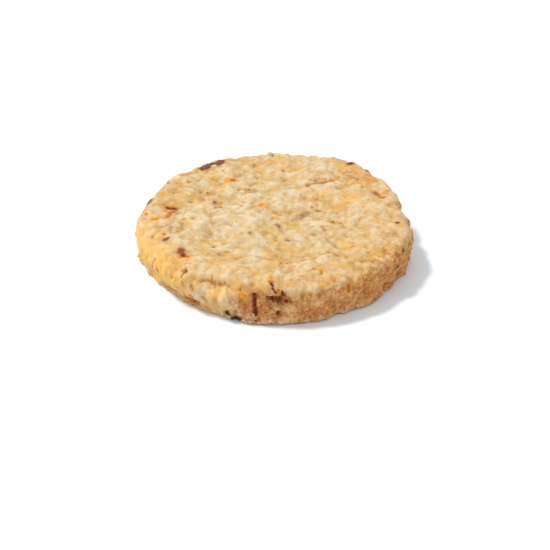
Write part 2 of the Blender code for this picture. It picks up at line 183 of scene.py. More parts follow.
# Pale patches, on the top and on the wall, in the columns of the pieces below; the
# last is how strong the patch is. The height that stands out isn't used here.
TOP_PALE = [
    (10.9, -3.8, 4.8, 2.4, 5, 0.0, 0.60), (12.6, 12.2, 8.0, 3.6, 10, 0.0, 0.35),
    (3.5, -9.0, 7.0, 3.0, 0, 0.0, 0.25), (17.0, -12.0, 4.0, 3.0, 40, 0.0, 0.35),
    (-10.0, -4.0, 8.0, 3.0, 10, 0.0, 0.25), (-18.5, -20.5, 6.0, 2.5, 20, 0.0, 0.30),
    (17.8, 9.0, 6.0, 3.4, 10, 0.0, 0.30), (-4.5, 11.5, 7.0, 2.6, 5, 0.0, 0.25),
]
# The broad wall patch at 203 degrees, on the left flank where the key light falls, is partly painted
# light.
WALL_PALE = [
    (245.5, 7.3, 5.2, 2.6, 0.0, 0.85), (275.0, 1.8, 5.0, 2.0, 0.0, 0.65),
    (288.0, 6.6, 4.0, 1.6, 0.0, 0.30), (221.0, 5.6, 3.0, 2.6, 0.0, 0.45),
    (203.0, 5.5, 36.0, 9.0, 0.0, 0.55), (268.0, 7.5, 0.9, 1.5, 0.0, 0.95),
    (270.6, 5.2, 1.7, 1.4, 0.0, 0.60), (258.0, 6.2, 1.1, 0.9, 0.0, 0.50),
    (268.0, 1.6, 1.0, 1.1, 0.0, 0.80), (276.5, 5.0, 3.6, 2.6, 0.0, 0.35),
]
# Browner patches, likewise. Some are painted shade: on the right of the top where it slopes away from
# the light, below a lump by the crack at the right back, and under the lip of the ledge at the front
# left.
TOP_BROWN_AND_SHADE = [
    (8.0, -4.0, 2.5, 1.2, 20, 0.0, 0.25), (-13.0, -17.0, 6.0, 2.0, 10, 0.0, 0.20),
    (28.6, 12.4, 2.4, 3.0, 60, 0.0, 0.35), (11.0, 18.4, 6.0, 1.6, 15, 0.0, 0.45),
    (-21.0, -23.0, 2.6, 1.0, 0, 0.0, 0.40), (-15.2, 8.2, 4.6, 3.6, 0, 0.0, 0.35),
    (24.0, -20.0, 4.4, 2.2, 40, 0.0, 0.30), (27.8, -14.5, 8.0, 3.2, 62, 0.0, 0.22),
    (-22.6, -17.4, 3.6, 4.6, 20, 0.0, 0.25), (21.0, 20.0, 9.0, 5.0, 135, 0.0, 0.16),
    (18.5, -3.0, 6.0, 3.0, 10, 0.0, 0.12), (6.5, -30.6, 13.0, 3.4, 8, 0.0, 0.28),
    (20.0, 6.0, 22.0, 26.0, 0, 0.0, 0.07),
]
WALL_BROWN_AND_SHADE = [
    (262.0, 5.2, 8.0, 5.0, 0.0, 0.45), (244.8, 9.4, 7.6, 1.2, 0.0, 0.45),
    (270.8, 7.2, 2.6, 2.2, 0.0, 0.60), (235.0, 1.6, 6.0, 1.0, 0.0, 0.40),
    (265.8, 5.9, 3.8, 3.4, 0.0, 0.50),
]

# ---------------------------------------------------------- pieces that show
# On the top: (x, y, length, width, bearing of its length, height that stands
# out, tone). Tone goes from the darkest flesh, 0, over red, 0.5, to a grey bloom, 1,
# which is partly a painted sheen, and is below zero where it is blue-grey; on peel it goes from
# bright to brown.
TOP_CRANBERRIES = [
    (-17.9, 25.6, 2.4, 3.2, 20, 0.35, 0.95), (-18.9, 25.2, 1.0, 2.2, 20, 0.38, 0.60),
    (-16.3, 27.0, 3.0, 1.3, 25, 0.20, 1.30),
    (-14.3, 27.3, 2.6, 2.6, 10, 0.45, 1.00), (-23.1, -16.7, 1.9, 2.5, 12, 0.12, 0.72),
    (-22.4, -18.5, 1.4, 2.1, 30, 0.12, 0.32),
    (-25.6, 4.3, 2.4, 1.4, 165, 0.15, 0.45),
    (-26.7, -11.4, 1.6, 0.9, 20, 0.10, 0.75),
    (-0.8, -32.7, 0.5, 1.5, 30, 0.08, 0.18), (19.4, 27.2, 1.8, 0.8, 165, 0.20, 1.30),
    (23.8, 23.4, 1.6, 0.8, 150, 0.22, 0.55), (-31.5, 7.8, 0.8, 2.6, 162, 0.15, 1.30),
    (30.5, -2.4, 0.9, 0.9, 0, 0.15, 0.50), (-15.2, 8.0, 0.5, 0.9, 0, 0.05, 1.30),
]
TOP_PEEL = [
    (-12.0, 18.3, 1.6, 2.5, 0, 0.30, 0.1), (-10.7, 18.5, 1.1, 1.4, 20, 0.20, 0.6),
    (-30.0, -2.2, 2.1, 1.9, 20, 0.30, 0.3), (-3.6, 5.8, 1.6, 1.0, 10, 0.20, 0.1),
    (-5.9, 6.6, 0.8, 0.7, 0, 0.15, 0.6), (15.4, 18.2, 1.2, 0.9, 0, 0.20, 0.3),
    (19.0, -14.7, 1.2, 0.7, 0, 0.15, 0.6), (11.0, -26.0, 0.9, 2.0, 10, 0.15, 0.3),
    (-1.0, -29.7, 0.8, 1.9, 5, 0.12, 0.35), (-1.2, -31.5, 1.5, 1.2, 0, 0.12, 1.0),
    (23.8, -20.6, 1.0, 0.7, 0, 0.15, 0.8),
    (-27.4, -9.4, 1.0, 1.2, 0, 0.15, 0.7), (-32.3, 1.6, 0.8, 1.8, 0, 0.25, 0.3),
    (2.1, 23.4, 0.8, 1.0, 0, 0.15, 0.9), (-0.7, -0.3, 0.7, 0.9, 0, 0.12, 0.2),
    (9.3, 4.3, 0.7, 0.9, 0, 0.06, 1.0), (-14.8, 5.4, 0.6, 0.8, 30, 0.10, 1.0),
    (-26.5, 0.8, 4.4, 1.2, 71, 0.12, 0.80), (-21.5, -19.5, 1.0, 1.7, 40, 0.08, 0.9),
]
# On the wall: (bearing, height up, length along, height, stand out, tone).
WALL_CRANBERRIES = [
    (261.6, 7.0, 1.05, 2.8, 0.03, 0.24), (262.1, 3.8, 1.15, 3.6, 0.03, 0.18),
    (273.1, 9.1, 1.3, 1.5, 0.20, 0.05), (274.3, 7.0, 1.1, 0.7, 0.12, 0.12),
    # The two rows of tone below zero are dark blue-grey lumps on the foot.
    (249.7, 1.8, 1.4, 1.4, 0.20, -0.38), (254.0, 0.7, 3.3, 1.2, 0.20, -0.38),
    (330.3, 7.0, 2.2, 0.9, 0.24, 0.15), (336.5, 9.2, 1.0, 0.7, 0.10, 0.90),
    (40.0, 4.5, 4.0, 2.6, 0.30, 0.30), (86.0, 5.0, 2.4, 3.4, 0.25, 0.10),
    (132.0, 3.4, 3.4, 1.5, 0.30, 0.22), (176.0, 6.0, 1.3, 1.9, 0.20, 0.22),
    (108.0, 7.2, 1.6, 1.0, 0.20, 0.20),
]
WALL_PEEL = [
    (256.5, 7.7, 1.9, 1.5, 0.15, 0.45), (255.5, 9.4, 0.6, 0.6, 0.12, 0.9),
    (257.6, 8.3, 1.0, 0.7, 0.12, 0.25), (271.3, 10.1, 1.0, 0.8, 0.10, 1.0),
    (301.0, 7.8, 0.9, 1.9, 0.08, 1.2), (304.8, 8.5, 0.8, 0.9, 0.15, 0.5),
    (313.4, 4.2, 0.7, 1.6, 0.10, 1.0), (70.0, 6.0, 2.0, 1.0, 0.20, 0.3),
    (112.0, 5.0, 1.0, 1.8, 0.20, 0.9), (20.0, 4.0, 1.2, 1.0, 0.20, 0.5),
    (152.0, 6.5, 1.6, 0.7, 0.20, 0.5), (209.0, 3.4, 0.7, 0.9, 0.12, 0.3),
]
# How the bake goes round the sides: (bearing, half width, share). The pale left side, where the key
# light falls, is partly painted light, and the browner front beside it partly painted shade.
PALE_AND_LIT_SIDES = [(205, 46, 0.90), (244, 14, 0.55), (90, 60, 0.25), (345, 20, 0.12)]
PALE_LIP = 0.6                       # share of the browning that the foot's lip lacks
BAKE_SHIFT = [(279, 9, -0.22)]       # below zero, the brown begins further along the run
PAINTED_SHADE_EDGES = [(325, 24, 0.30)]      # where the edge of the top is browned too, as painted shade where it slopes away from the light
PAINTED_SHADE_EDGE_RUN = (0.85, 1.10)
# Browning of a stretch of the run: (share, run where it begins, run where it is full).
RIM_BAKE = (0.20, 1.05, 1.55)
WALL_BAKE = (0.84, 1.40, 2.05)
UNDER_BAKE = (0.25, 3.2, 4.0)
LEAST_BAKE = 0.05
BAKE_DRIFT = (6.0, 0.15, 0.06)       # cell, share everywhere, share more on the wall
# Golden sides: ((bearing, half width, share), run where it begins and is full).
GILT_SIDES = [((195, 50, 0.5), (0.85, 1.3)), ((15, 45, 0.35), (0.75, 1.1))]
GILT_RIM = (283, 15, 0.9)            # golden rim, whose gold ends again down the wall
GILT_RIM_RUN = (0.76, 0.94)
GILT_RIM_END = (1.30, 1.80)
GILT_REACH = (8.0, 33.0)             # distance from the middle where the gold grows
GILT_LEAST = 0.15                    # share in the middle of the top
GILT_OUT = 0.60                      # share more at the rim
GILT_DRIFT = ((7.0, 0.75), (3.0, 0.55))     # cell and share
# Height of the fine relief, and of the broader lumps, that spans a colour mask.
DETAIL_SPAN = 1.6
RELIEF_SPAN = 1.3
# Painted shade in the holes and in the cracks and seams, darkest where deepest: (share, depth where
# it begins, depth where it is full).
HOLE_SHADE_DARK = (0.75, 0.20, 0.55)
CRACK_SHADE_DARK = (0.75, 0.10, 0.60)
# Thin stains: (from, to, half width, tone, strength), on the top by (x, y) and on
# the wall by (bearing, height).
TOP_STAINS = [
    ((11.4, -4.8), (12.4, -7.2), 0.26, 0.5, 0.5), ((12.6, -10.7), (13.3, -12.6), 0.30, 0.5, 0.4),
    ((14.2, -13.1), (14.9, -14.6), 0.26, 0.5, 0.5), ((12.9, -16.5), (15.3, -18.9), 0.26, 0.6, 0.5),
    ((5.2, -1.2), (7.8, 1.8), 1.3, -0.7, 0.36), ((-15.0, 7.2), (-14.8, 8.4), 0.7, -0.7, 0.25),
    ((0.3, -3.6), (1.0, -4.7), 0.50, 0.1, 0.6), ((1.1, -5.0), (2.2, -8.8), 0.40, -0.7, 0.30),
    ((2.8, -11.0), (5.6, -12.2), 0.35, -0.7, 0.25),
    ((-26.9, 4.6), (-24.8, 4.0), 0.70, 0.40, 0.9), ((-24.8, 3.8), (-25.2, 2.8), 0.60, 0.45, 0.7),
    ((-25.6, 1.6), (-27.4, -1.8), 0.45, 0.50, 0.35),
    ((-1.0, -32.1), (-0.5, -33.2), 0.32, 0.15, 0.95), ((-13.2, 28.4), (-16.4, 27.2), 0.7, 1.0, 0.7),
    ((19.0, 21.0), (21.0, 19.2), 0.35, 1.0, 0.35), ((5.4, -28.8), (6.6, -29.6), 0.35, 0.7, 0.35),
]
WALL_STAINS = [
    ((261.4, 8.5), (261.8, 5.4), 0.62, 0.28, 0.90), ((261.8, 5.4), (262.3, 1.7), 0.62, 0.16, 0.92),
    ((261.3, 8.0), (262.0, 3.0), 1.00, 0.60, 0.45), ((269.2, 10.4), (270.4, 9.7), 0.42, 0.15, 0.95),
    ((263.0, 7.4), (268.4, 7.5), 0.14, 0.60, 0.35), ((263.0, 6.6), (268.8, 6.5), 0.14, 0.60, 0.40),
    ((263.2, 5.8), (268.4, 5.9), 0.14, 0.60, 0.35), ((262.8, 5.1), (265.4, 5.2), 0.22, 0.50, 0.60),
    ((257.0, 5.6), (260.6, 5.4), 0.16, 0.60, 0.35), ((257.4, 3.6), (261.0, 3.7), 0.18, 0.60, 0.35),
    ((273.5, 8.3), (274.2, 7.4), 0.50, 0.80, 0.55), ((328.4, 6.5), (332.0, 7.5), 0.50, 0.3, 0.9),
    ((328.4, 9.6), (331.6, 9.9), 0.26, 0.55, 0.55), ((334.0, 9.0), (337.0, 9.5), 0.35, 0.9, 0.5),
    ((322.0, 8.4), (324.0, 8.0), 0.35, 0.7, 0.4), ((291.0, 6.0), (293.0, 5.4), 0.45, 0.6, 0.35),
    ((209.0, 1.3), (221.0, 1.5), 0.24, 0.7, 0.45), ((224.0, 1.9), (232.0, 1.1), 0.20, 0.5, 0.55),
    ((284.0, 3.6), (286.0, 3.0), 0.45, 0.6, 0.35), ((310.0, 6.4), (312.5, 4.4), 0.5, 0.6, 0.35),
]
# Where the marks of the top and of the wall end, by height and by distance from the rim.
TOP_MARKS_ABOVE = 6.0
WALL_MARKS_WITHIN = 5.0
# A piece's colour fades over this distance, in half lengths, and its halo spreads by
# exp(-(distance - start)^2 / spread). A stain does so in its own half widths.
PIECE_EDGE = (0.75, 1.25)
HALO_SHARE, HALO_START, HALO_SPREAD = 0.85, 0.8, 0.55
STAIN_EDGE = (0.5, 1.3)
STAIN_HALO_SHARE, STAIN_HALO_WIDTH = 0.6, 2.2

FRUIT_DEPTH = 1.6                # thickness of the pieces
PEEL_DEPTH = 1.2
OAT_DEPTH = 0.9
LUMP_GRID = (26, 15)             # corners round a piece and from pole to pole
CRUMB_GRID = (6, 5)
# Form of the lumps: (wrinkle, how square their sides are, shift of the noise).
FRUIT_FORM = (0.42, 0.8, 3)
PEEL_FORM = (0.36, 0.8, 5)
OAT_FORM = (0.22, 0.45, 8)
CRUMB_FORM = (0.35, 1.0, 13)
LUMP_NOISE = [(1.1, 0.9), (0.45, 0.5)]
LUMP_SHIFT = (3.7, 1.9, 0.6)     # shift of the noise from each lump to the next
LOWEST_MIDDLE = 0.15             # height that a lump's plan keeps to on the wall
LOWEST_CORNER = 0.02             # height that all its corners keep to
CLEAR_BELOW = 0.2                # fruit mask under which an oat flake or crumb may lie

# Oat flakes that stand out: (x, y, length, width, bearing of its length, stand out, tone).
TOP_OATS = [
    (10.9, -3.8, 4.6, 2.6, 5, 0.14, 0.0), (7.4, -29.2, 3.0, 2.4, 10, 0.06, 0.5),
    (-9.6, 5.4, 3.0, 2.4, 20, 0.10, 0.3), (-3.0, -19.0, 3.4, 2.2, 0, 0.08, 0.4),
    (-17.4, -24.6, 2.8, 2.2, 60, 0.12, 0.3),
    (20.6, 15.8, 3.2, 2.4, 30, 0.20, 0.5), (-22.0, 12.0, 3.2, 2.2, 50, 0.16, 0.4),
]
OAT_SEED = 7
OAT_LENGTH = (2.2, 3.8)
OAT_WIDTH = (1.4, 2.4)
OAT_MARGIN = 1.5                 # least distance of a scattered flake from the rim
OAT_SHAKE = 12.0                 # degrees either way on the top, and half of it on the wall
OAT_LEVELS = (1.8, 7.4)          # heights up the wall
OAT_TILT = 50.0                  # degrees either way on the wall
OAT_OUT = (-0.08, 0.10)          # how far they stand out
OAT_TONES = (0.3, 1.0)
CRUMB_SEED = 19
FOOT_CRUMB_BEARINGS = (232.0, 338.0)
FOOT_CRUMB_LEVELS = (0.25, 1.2)
WALL_CRUMB_LEVELS = (0.3, 9.0)
CRUMB_SPREAD = 0.4               # power of the draw for the distance from the middle
CRUMB_FINENESS = 2.5             # power of the draw for the size, so that most are small
SMALLEST_CRUMB = 0.30
TOP_CRUMB_SIZE = 0.75            # of the size of a crumb of the wall
TOP_CRUMB_OUT = 0.30             # share of its size that a crumb stands out
WALL_CRUMB_OUT = 0.36
CRUMB_LENGTHS = (0.9, 1.5)       # length for its width
OWN_CRUMB_LENGTH = 1.3
TOP_CRUMB_TONES = (0.0, 1.0)     # from pale to brown
WALL_CRUMB_TONES = (0.25, 1.0)
FOOT_CRUMB_TONES = (0.0, 0.25)
# Crumbs with a place of their own: (bearing, height up, size, stand out, tone).
OWN_CRUMBS = [
    (92.6, 10.6, 1.2, 0.55, 0.4), (91.6, 10.8, 0.7, 0.45, 0.5), (84.3, 10.7, 0.9, 0.40, 0.4),
    (73.5, 10.6, 1.2, 0.35, 0.3), (256.6, 0.7, 0.9, 0.45, 0.1), (258.2, 0.5, 1.1, 0.50, 0.1),
    (259.8, 0.8, 0.8, 0.45, 0.0), (263.4, 0.6, 1.2, 0.50, 0.1), (284.0, 0.5, 1.0, 0.45, 0.1),
    (268.0, 7.5, 0.8, 0.40, 0.0), (268.2, 6.9, 0.5, 0.35, 0.1), (270.4, 5.2, 1.2, 0.40, 0.1),
    (268.1, 1.4, 1.0, 0.45, 0.0), (256.9, 0.9, 0.8, 0.50, 0.0), (251.0, 0.9, 0.9, 0.40, 0.2),
    (299.5, 0.7, 1.1, 0.50, 0.0), (301.4, 0.6, 0.9, 0.45, 0.1), (193.0, 1.2, 1.0, 0.45, 0.5),
]

# ------------------------------------------------------------------ finishes
# Mottle of each material: (size of its patches, size of its grain).
DOUGH_MOTTLE = (1.3, 0.5)
WIDE_MOTTLE = (3.2, 0.9)
FRUIT_MOTTLE = (1.2, 0.4)
PEEL_MOTTLE = (1.2, 0.35)
# Tones between which one colour of the flesh turns into the next.
FRUIT_STEPS = ((-0.40, -0.15), (0.05, 0.50), (0.60, 0.95))
PEEL_STEPS = ((0.0, 1.0),)
FLESH_SHAKE = 0.22               # how far the mottle shakes the tone
THIN_EDGE = (0.82, 0.60)         # level of a piece where its thin edge begins and is full
# Shares of one colour in another at most.
HONEY_FLAKES, TAN_FLAKES, RED_PATCHES = 0.50, 0.38, 0.30
# Creamier crests and golden hollows are partly painted light and painted warm shade.
CREAM_CRESTS, HONEY_HOLLOWS = 0.45, 0.50
# The pores' share is painted shade in the hollows of the fine relief; the cream of its crests is
# partly painted light.
PORE_SHADE, SPECK_BROWN, CREAM_AND_LIGHT_ON_CRESTS = 0.70, 0.55, 0.35
FRUIT_EDGE_SHARE, PEEL_EDGE_SHARE = 0.6, 0.5
# Finish of each material: (roughness where the mottle's grain is low and where it is
# high, gloss, depth of the bump).
DOUGH_FINISH = ((0.92, 0.72), 0.25, 0.2)
FRUIT_FINISH = ((0.50, 0.75), 0.2, 0.2)
PEEL_FINISH = ((0.40, 0.62), 0.3, 0.15)
OAT_FINISH = ((0.85, 0.65), 0.3, 0.15)
CRUMB_FINISH = ((0.92, 0.75), 0.25, 0.15)
# Strength of the bump, which the dough has from pale top to browned wall.
DOUGH_BUMP = (0.6, 1.0)
FRUIT_BUMP = 0.8
FINE_BUMP = 0.6
# Light let in: how far red, green and blue go, for their depth in millimetres.
LIGHT_LET_IN = 0.12
DOUGH_LIGHT = ((1.0, 0.65, 0.30), 1.2)
PEEL_LIGHT = ((1.0, 0.5, 0.15), 0.8)
FLOOR_ROUGHNESS = 0.9

# ------------------------------------------------------------- camera, light
CAMERA_RISE = 31.0               # degrees above the table
CAMERA_AWAY = 650.0
CAMERA_LENS = 169.6
AIM_RIGHT = 0.38                 # how far the aim lies beside the biscuit's middle
AIM_DROP = 9.85                  # how far the aim lies under the biscuit's middle
SENSOR = 36.0
KEY_RISE = 60.0
KEY_BEARING = 168.0              # where the key light comes from
KEY_SOFTNESS = 11.0
KEY_POWER = 2.0
SKY_LIGHT = 0.82
SKY_COLOUR = (0.94, 0.985, 1.0)
FLOOR_REACH = 4.0                # metres


# =============================================================== mathematics
def smooth_ramp(value, low, high):
    """0 below low, 1 above high, and 3s^2 - 2s^3 of the share s between."""
    share = np.clip((value - low) / (high - low), 0.0, 1.0)
    return share * share * (3.0 - 2.0 * share)


def bearing_gap(bearing, centre):
    """Signed turn from centre to bearing, from -180 to 180 degrees."""
    return (bearing - centre + 180.0) % 360.0 - 180.0


def bearing_of(points):
    """Bearing of each point, from -180 to 180 degrees."""
    return np.degrees(np.arctan2(points[:, 1], points[:, 0]))


def along_wall(bearing, centre):
    """Distance round the wall from the bearing centre, in millimetres."""
    return np.radians(bearing_gap(bearing, centre)) * RADIUS


def share_ramp(value, span):
    """A smooth ramp from 0 at low to the share at high, the span being (share, low, high)."""
    share, low, high = span
    return share * smooth_ramp(value, low, high)


def lobes(bearing, table):
    """Sum of reach * exp(-(gap / half width)^2) over the table."""
    total = np.zeros_like(bearing)
    for centre, half_width, reach in table:
        total = total + reach * np.exp(-(bearing_gap(bearing, centre) / half_width) ** 2)
    return total


class LatticeNoise:
    """Gradient noise on a cubic lattice, about -1 to 1.

    Each lattice node has an arrow; the value is the arrows' dot products with
    the offsets from the eight nodes round a point, blended by 6t^5 - 15t^4 + 10t^3.
    """

    SIZE = 256
    GAIN = 1.6      # brings the sum of the arrows to about -1 to 1
    SHAKE = 0.45    # how far a seed point lies from its cell's middle

    def __init__(self, seed):
        draw = np.random.default_rng(seed)
        self.order = draw.permutation(self.SIZE)
        arrows = draw.normal(size=(self.SIZE, 3))
        self.arrows = arrows / np.linalg.norm(arrows, axis=1, keepdims=True)

    def pick(self, node):
        """The number of each lattice node, the same wherever it is asked for."""
        node = node % self.SIZE
        first = self.order[node[:, 0]]
        second = self.order[(first + node[:, 1]) % self.SIZE]
        return self.order[(second + node[:, 2]) % self.SIZE]

    def at(self, points, cell):
        """The noise at each point, with lattice cells of the given size."""
        scaled = points / cell
        corner = np.floor(scaled).astype(int)
        inside = scaled - corner
        blend = inside ** 3 * (inside * (inside * 6.0 - 15.0) + 10.0)
        total = np.zeros(len(scaled))
        for step in np.ndindex(2, 2, 2):
            arrow = self.arrows[self.pick(corner + step)]
            value = np.sum(arrow * (inside - step), axis=1)
            total += np.prod(np.where(step, blend, 1.0 - blend), axis=1) * value
        return self.GAIN * total

    def sum(self, points, table):
        """The noise added up over a table of (cell, height)."""
        return sum(height * self.at(points, cell) for cell, height in table)

    def nearest(self, points, cell):
        """Distance, in cells, to the nearest of one shaken point per cell, and its number."""
        scaled = points / cell
        corner = np.floor(scaled).astype(int)
        best = np.full(len(scaled), FAR)
        number = np.zeros(len(scaled), int)
        for step in np.ndindex(3, 3, 3):
            node = corner + np.array(step) - 1
            pick = self.pick(node)
            seed_point = node + 0.5 + self.SHAKE * self.arrows[pick]
            away = np.linalg.norm(scaled - seed_point, axis=1)
            closer = away < best
            best = np.where(closer, away, best)
            number = np.where(closer, pick, number)
        return best, number


OUTLINE_NOISE = LatticeNoise(11)
TOP_RELIEF_NOISE = LatticeNoise(23)
WALL_RELIEF_NOISE = LatticeNoise(31)
FINE_NOISE = LatticeNoise(43)
CRUMB_NOISE = LatticeNoise(59)
PORE_NOISE = LatticeNoise(67)
SHAPE_NOISE = LatticeNoise(71)
FLAKE_NOISE = LatticeNoise(83)


# ================================================================ the surface
def ragged(bearing, level, table):
    """Unevenness of an edge: noise read round a circle at the given level."""
    turn = np.radians(bearing)
    circle = np.stack([RADIUS * np.cos(turn), RADIUS * np.sin(turn),
                       np.full_like(turn, level)], axis=1)
    return OUTLINE_NOISE.sum(circle, table)


def rim_radius(bearing):
    """Radius of the wall's upper end: the mean radius, its lobes and its ragged noise."""
    return RADIUS + lobes(bearing, RIM_LOBES) + ragged(bearing, THICKNESS, RIM_RAGGED)


def foot_radius(bearing):
    """Radius of the foot, likewise, with its inset and its own lobes."""
    return (RADIUS - FOOT_INSET + lobes(bearing, RIM_LOBES) + lobes(bearing, FOOT_LOBES)
            + ragged(bearing, 0.0, FOOT_RAGGED))


def rim_height(bearing):
    """Height of the rounded rim's start, where the top ends."""
    return THICKNESS + lobes(bearing, SUNK_SIDES)


def rim_rounding(bearing):
    """Inset and drop of the rounded upper rim."""
    inset = lobes(bearing, [(centre, wide, more) for centre, wide, more, _ in SOFT_SIDES])
    drop = lobes(bearing, [(centre, wide, more) for centre, wide, _, more in SOFT_SIDES])
    uneven = 1.0 + ragged(bearing, 0.5 * THICKNESS, RIM_UNEVEN)
    return (RIM_INSET + inset) * uneven, (RIM_DROP + drop) * uneven


def run_at_radius(bearing, radius):
    """Run of a point of the top or the rounded rim, from its distance to the middle."""
    inset, _ = rim_rounding(bearing)
    flat = rim_radius(bearing) - inset
    rise = np.clip((radius - flat) / inset, 0.0, 1.0)
    return np.where(radius < flat, radius / flat, RIM_START + np.arcsin(rise) / (0.5 * math.pi))


def run_at_height(bearing, height):
    """Run of a point of the rounded rim, the wall or the foot, from its height."""
    _, drop = rim_rounding(bearing)
    wall_top = rim_height(bearing) - drop
    on_rim = RIM_START + np.arccos(np.clip((height - wall_top) / drop, 0.0, 1.0)) / (0.5 * math.pi)
    on_wall = WALL_START + (wall_top - height) / (wall_top - FOOT_ROUND)
    on_foot = FOOT_START + np.arcsin(np.clip(1.0 - height / FOOT_ROUND, 0.0, 1.0)) / (0.5 * math.pi)
    return np.where(height > wall_top, on_rim, np.where(height > FOOT_ROUND, on_wall, on_foot))


def profile(run, edges):
    """Radius and height along the run.

    The top, which sinks by the cube of its run where its side is sunk, a
    quarter ellipse, a wall that leans in to the foot by 3s^2 - 2s^3, a quarter
    circle, and the flat underside.
    """
    inset, drop, tall, rim, foot = edges
    on_top = np.clip(run, 0.0, 1.0)
    on_rim = 0.5 * math.pi * np.clip(run - RIM_START, 0.0, 1.0)
    on_wall = smooth_ramp(run, WALL_START, FOOT_START)
    down_wall = np.clip(run - WALL_START, 0.0, 1.0)
    on_foot = 0.5 * math.pi * np.clip(run - FOOT_START, 0.0, 1.0)
    under = np.clip(run - UNDER_START, 0.0, 1.0)
    radius = ((rim - inset) * on_top + inset * np.sin(on_rim) + (foot - rim) * on_wall
              - FOOT_ROUND * (1.0 - np.cos(on_foot)))
    height = (THICKNESS + (tall - THICKNESS) * on_top ** SINK_POWER
              - drop * (1.0 - np.cos(on_rim)) - (tall - drop - FOOT_ROUND) * down_wall
              - FOOT_ROUND * np.sin(on_foot))
    return radius * (1.0 - under), height


def smooth_surface(bearing, run):
    """Points and outward normals of the body without relief.

    The normal is the profile's direction turned by a quarter.
    """
    edges = (*rim_rounding(bearing), rim_height(bearing), rim_radius(bearing),
             foot_radius(bearing))
    radius, height = profile(run, edges)
    radius_before, height_before = profile(run - RUN_STEP, edges)
    radius_after, height_after = profile(run + RUN_STEP, edges)
    along_out = radius_after - radius_before
    along_up = height_after - height_before
    length = np.hypot(along_out, along_up) + 1e-9
    out, up = -along_up / length, along_out / length
    turn = np.radians(bearing)
    points = np.stack([radius * np.cos(turn), radius * np.sin(turn), height], axis=1)
    normals = np.stack([out * np.cos(turn), out * np.sin(turn), up], axis=1)
    return points, normals


def segment_distance(plan, start, end):
    """Distance of each point to the line from start to end, its ends included."""
    start = np.array(start)
    along = np.array(end) - start
    share = np.clip((plan - start) @ along / (along @ along), 0.0, 1.0)
    return np.linalg.norm(plan - start - share[:, None] * along, axis=1)


def broad_relief(points, facing_up):
    """The solid's own relief: noise, swells of the top, pits and lumps of the wall."""
    plan = points[:, :2]
    top = TOP_RELIEF_NOISE.sum(points, TOP_NOISE)
    for x, y, reach_x, reach_y, tall in TOP_SWELLS:
        away = ((plan[:, 0] - x) / reach_x) ** 2 + ((plan[:, 1] - y) / reach_y) ** 2
        top = top + tall * np.exp(-away)
    wall = WALL_RELIEF_NOISE.sum(points, WALL_NOISE)
    bearing = bearing_of(points)
    for centre, level, reach_along, reach_up, tall in WALL_SWELLS:
        along = along_wall(bearing, centre) / reach_along
        up = (points[:, 2] - level) / reach_up
        wall = wall + tall * np.exp(-along ** 2 - up ** 2)
    return facing_up * top + (1.0 - facing_up) * wall


def deeper(depth, away, deep):
    """The greater of the depth so far and deep * exp(-away^2), away taken as 0 or more."""
    return np.maximum(depth, deep * np.exp(-np.maximum(away, 0.0) ** 2))


def crack_depth(points):
    """How deep the cracks of the top cut at each point, below zero."""
    depth = np.zeros(len(points))
    wander = wandering(points)
    for start, end, half_width, deep in TOP_CRACKS:
        away = segment_distance(points[:, :2], start, end) / half_width
        depth = deeper(depth, away + wander, deep)
    return -depth


def crumbs_and_pores(points, crumbs, pores):
    """Rounded crumbs and pores at the seed points, by the distance d to the nearest.

    A crumb is its rise less its fall times d^2. A pore is exp(-(d / size)^2), and
    its size and whether there is one go by the seed point's number.
    """
    cell, height = crumbs
    away, _ = CRUMB_NOISE.nearest(points, cell)
    bumps = height * (CRUMB_RISE - CRUMB_FALL * away ** 2)
    cell, share, depth = pores
    away, number = PORE_NOISE.nearest(points, cell)
    size = share * (PORE_LEAST + PORE_SPREAD * (number % PORE_SIZES) / PORE_SIZES)
    holes = -depth * np.exp(-(away / size) ** 2) * (number % PORE_BARE > 0)
    return bumps, holes


def wandering(points):
    """Noise that bends the edge of a crack, hole or stain, in shares of its half width."""
    return SHAPE_NOISE.sum(points, WANDER_NOISE)


def line_coordinates(points):
    """Bearing as millimetres round the wall, and height, for lines drawn on the wall."""
    bearing = bearing_of(points) % 360.0
    return np.stack([np.radians(bearing) * RADIUS, points[:, 2]], axis=1)


def wall_line(start, end):
    """Ends of a line on the wall, (bearing, height), in those coordinates."""
    return ((math.radians(start[0]) * RADIUS, start[1]), (math.radians(end[0]) * RADIUS, end[1]))


def outer_part(points):
    """1 near the rim and on the wall, 0 over the middle of the top and underside."""
    inner, outer = SEAM_BAND
    return smooth_ramp(np.hypot(points[:, 0], points[:, 1]), RADIUS - inner, RADIUS - outer)


def seam_depth(points):
    """How deep the seams of the rim and wall cut at each point, below zero."""
    depth = np.zeros(len(points))
    plan = line_coordinates(points)
    wander = wandering(points)
    for start, end, half_width, deep in RIM_SEAMS:
        away = segment_distance(plan, *wall_line(start, end)) / half_width
        depth = deeper(depth, away + wander, deep)
    return -depth * outer_part(points)


def hole_depth(points):
    """How deep the small holes of the wall go at each point, below zero."""
    depth = np.zeros(len(points))
    bearing = bearing_of(points)
    wander = wandering(points)
    for centre, level, reach_along, reach_up, deep in WALL_HOLES:
        along = along_wall(bearing, centre) / reach_along
        away = np.hypot(along, (points[:, 2] - level) / reach_up)
        depth = deeper(depth, away + wander, deep)
    return -depth * outer_part(points)


def foot_lip(points):
    """Share of the foot's crumbly lip at each point: a bell over the height, ragged round it."""
    bearing = bearing_of(points)
    bell = np.exp(-((points[:, 2] - LIP_LEVEL) / LIP_REACH) ** 2)
    ragged_share = np.clip(1.0 + SHAPE_NOISE.sum(points, LIP_NOISE), 0.0, 2.0)
    return lobes(bearing, FOOT_LIP) * bell * ragged_share


def flakes(points, table):
    """Flat-topped flakes with steep edges: the height times tanh of steepened noise."""
    return sum(height * np.tanh(FLAKE_EDGE * FLAKE_NOISE.at(points, cell))
               for cell, height in table)


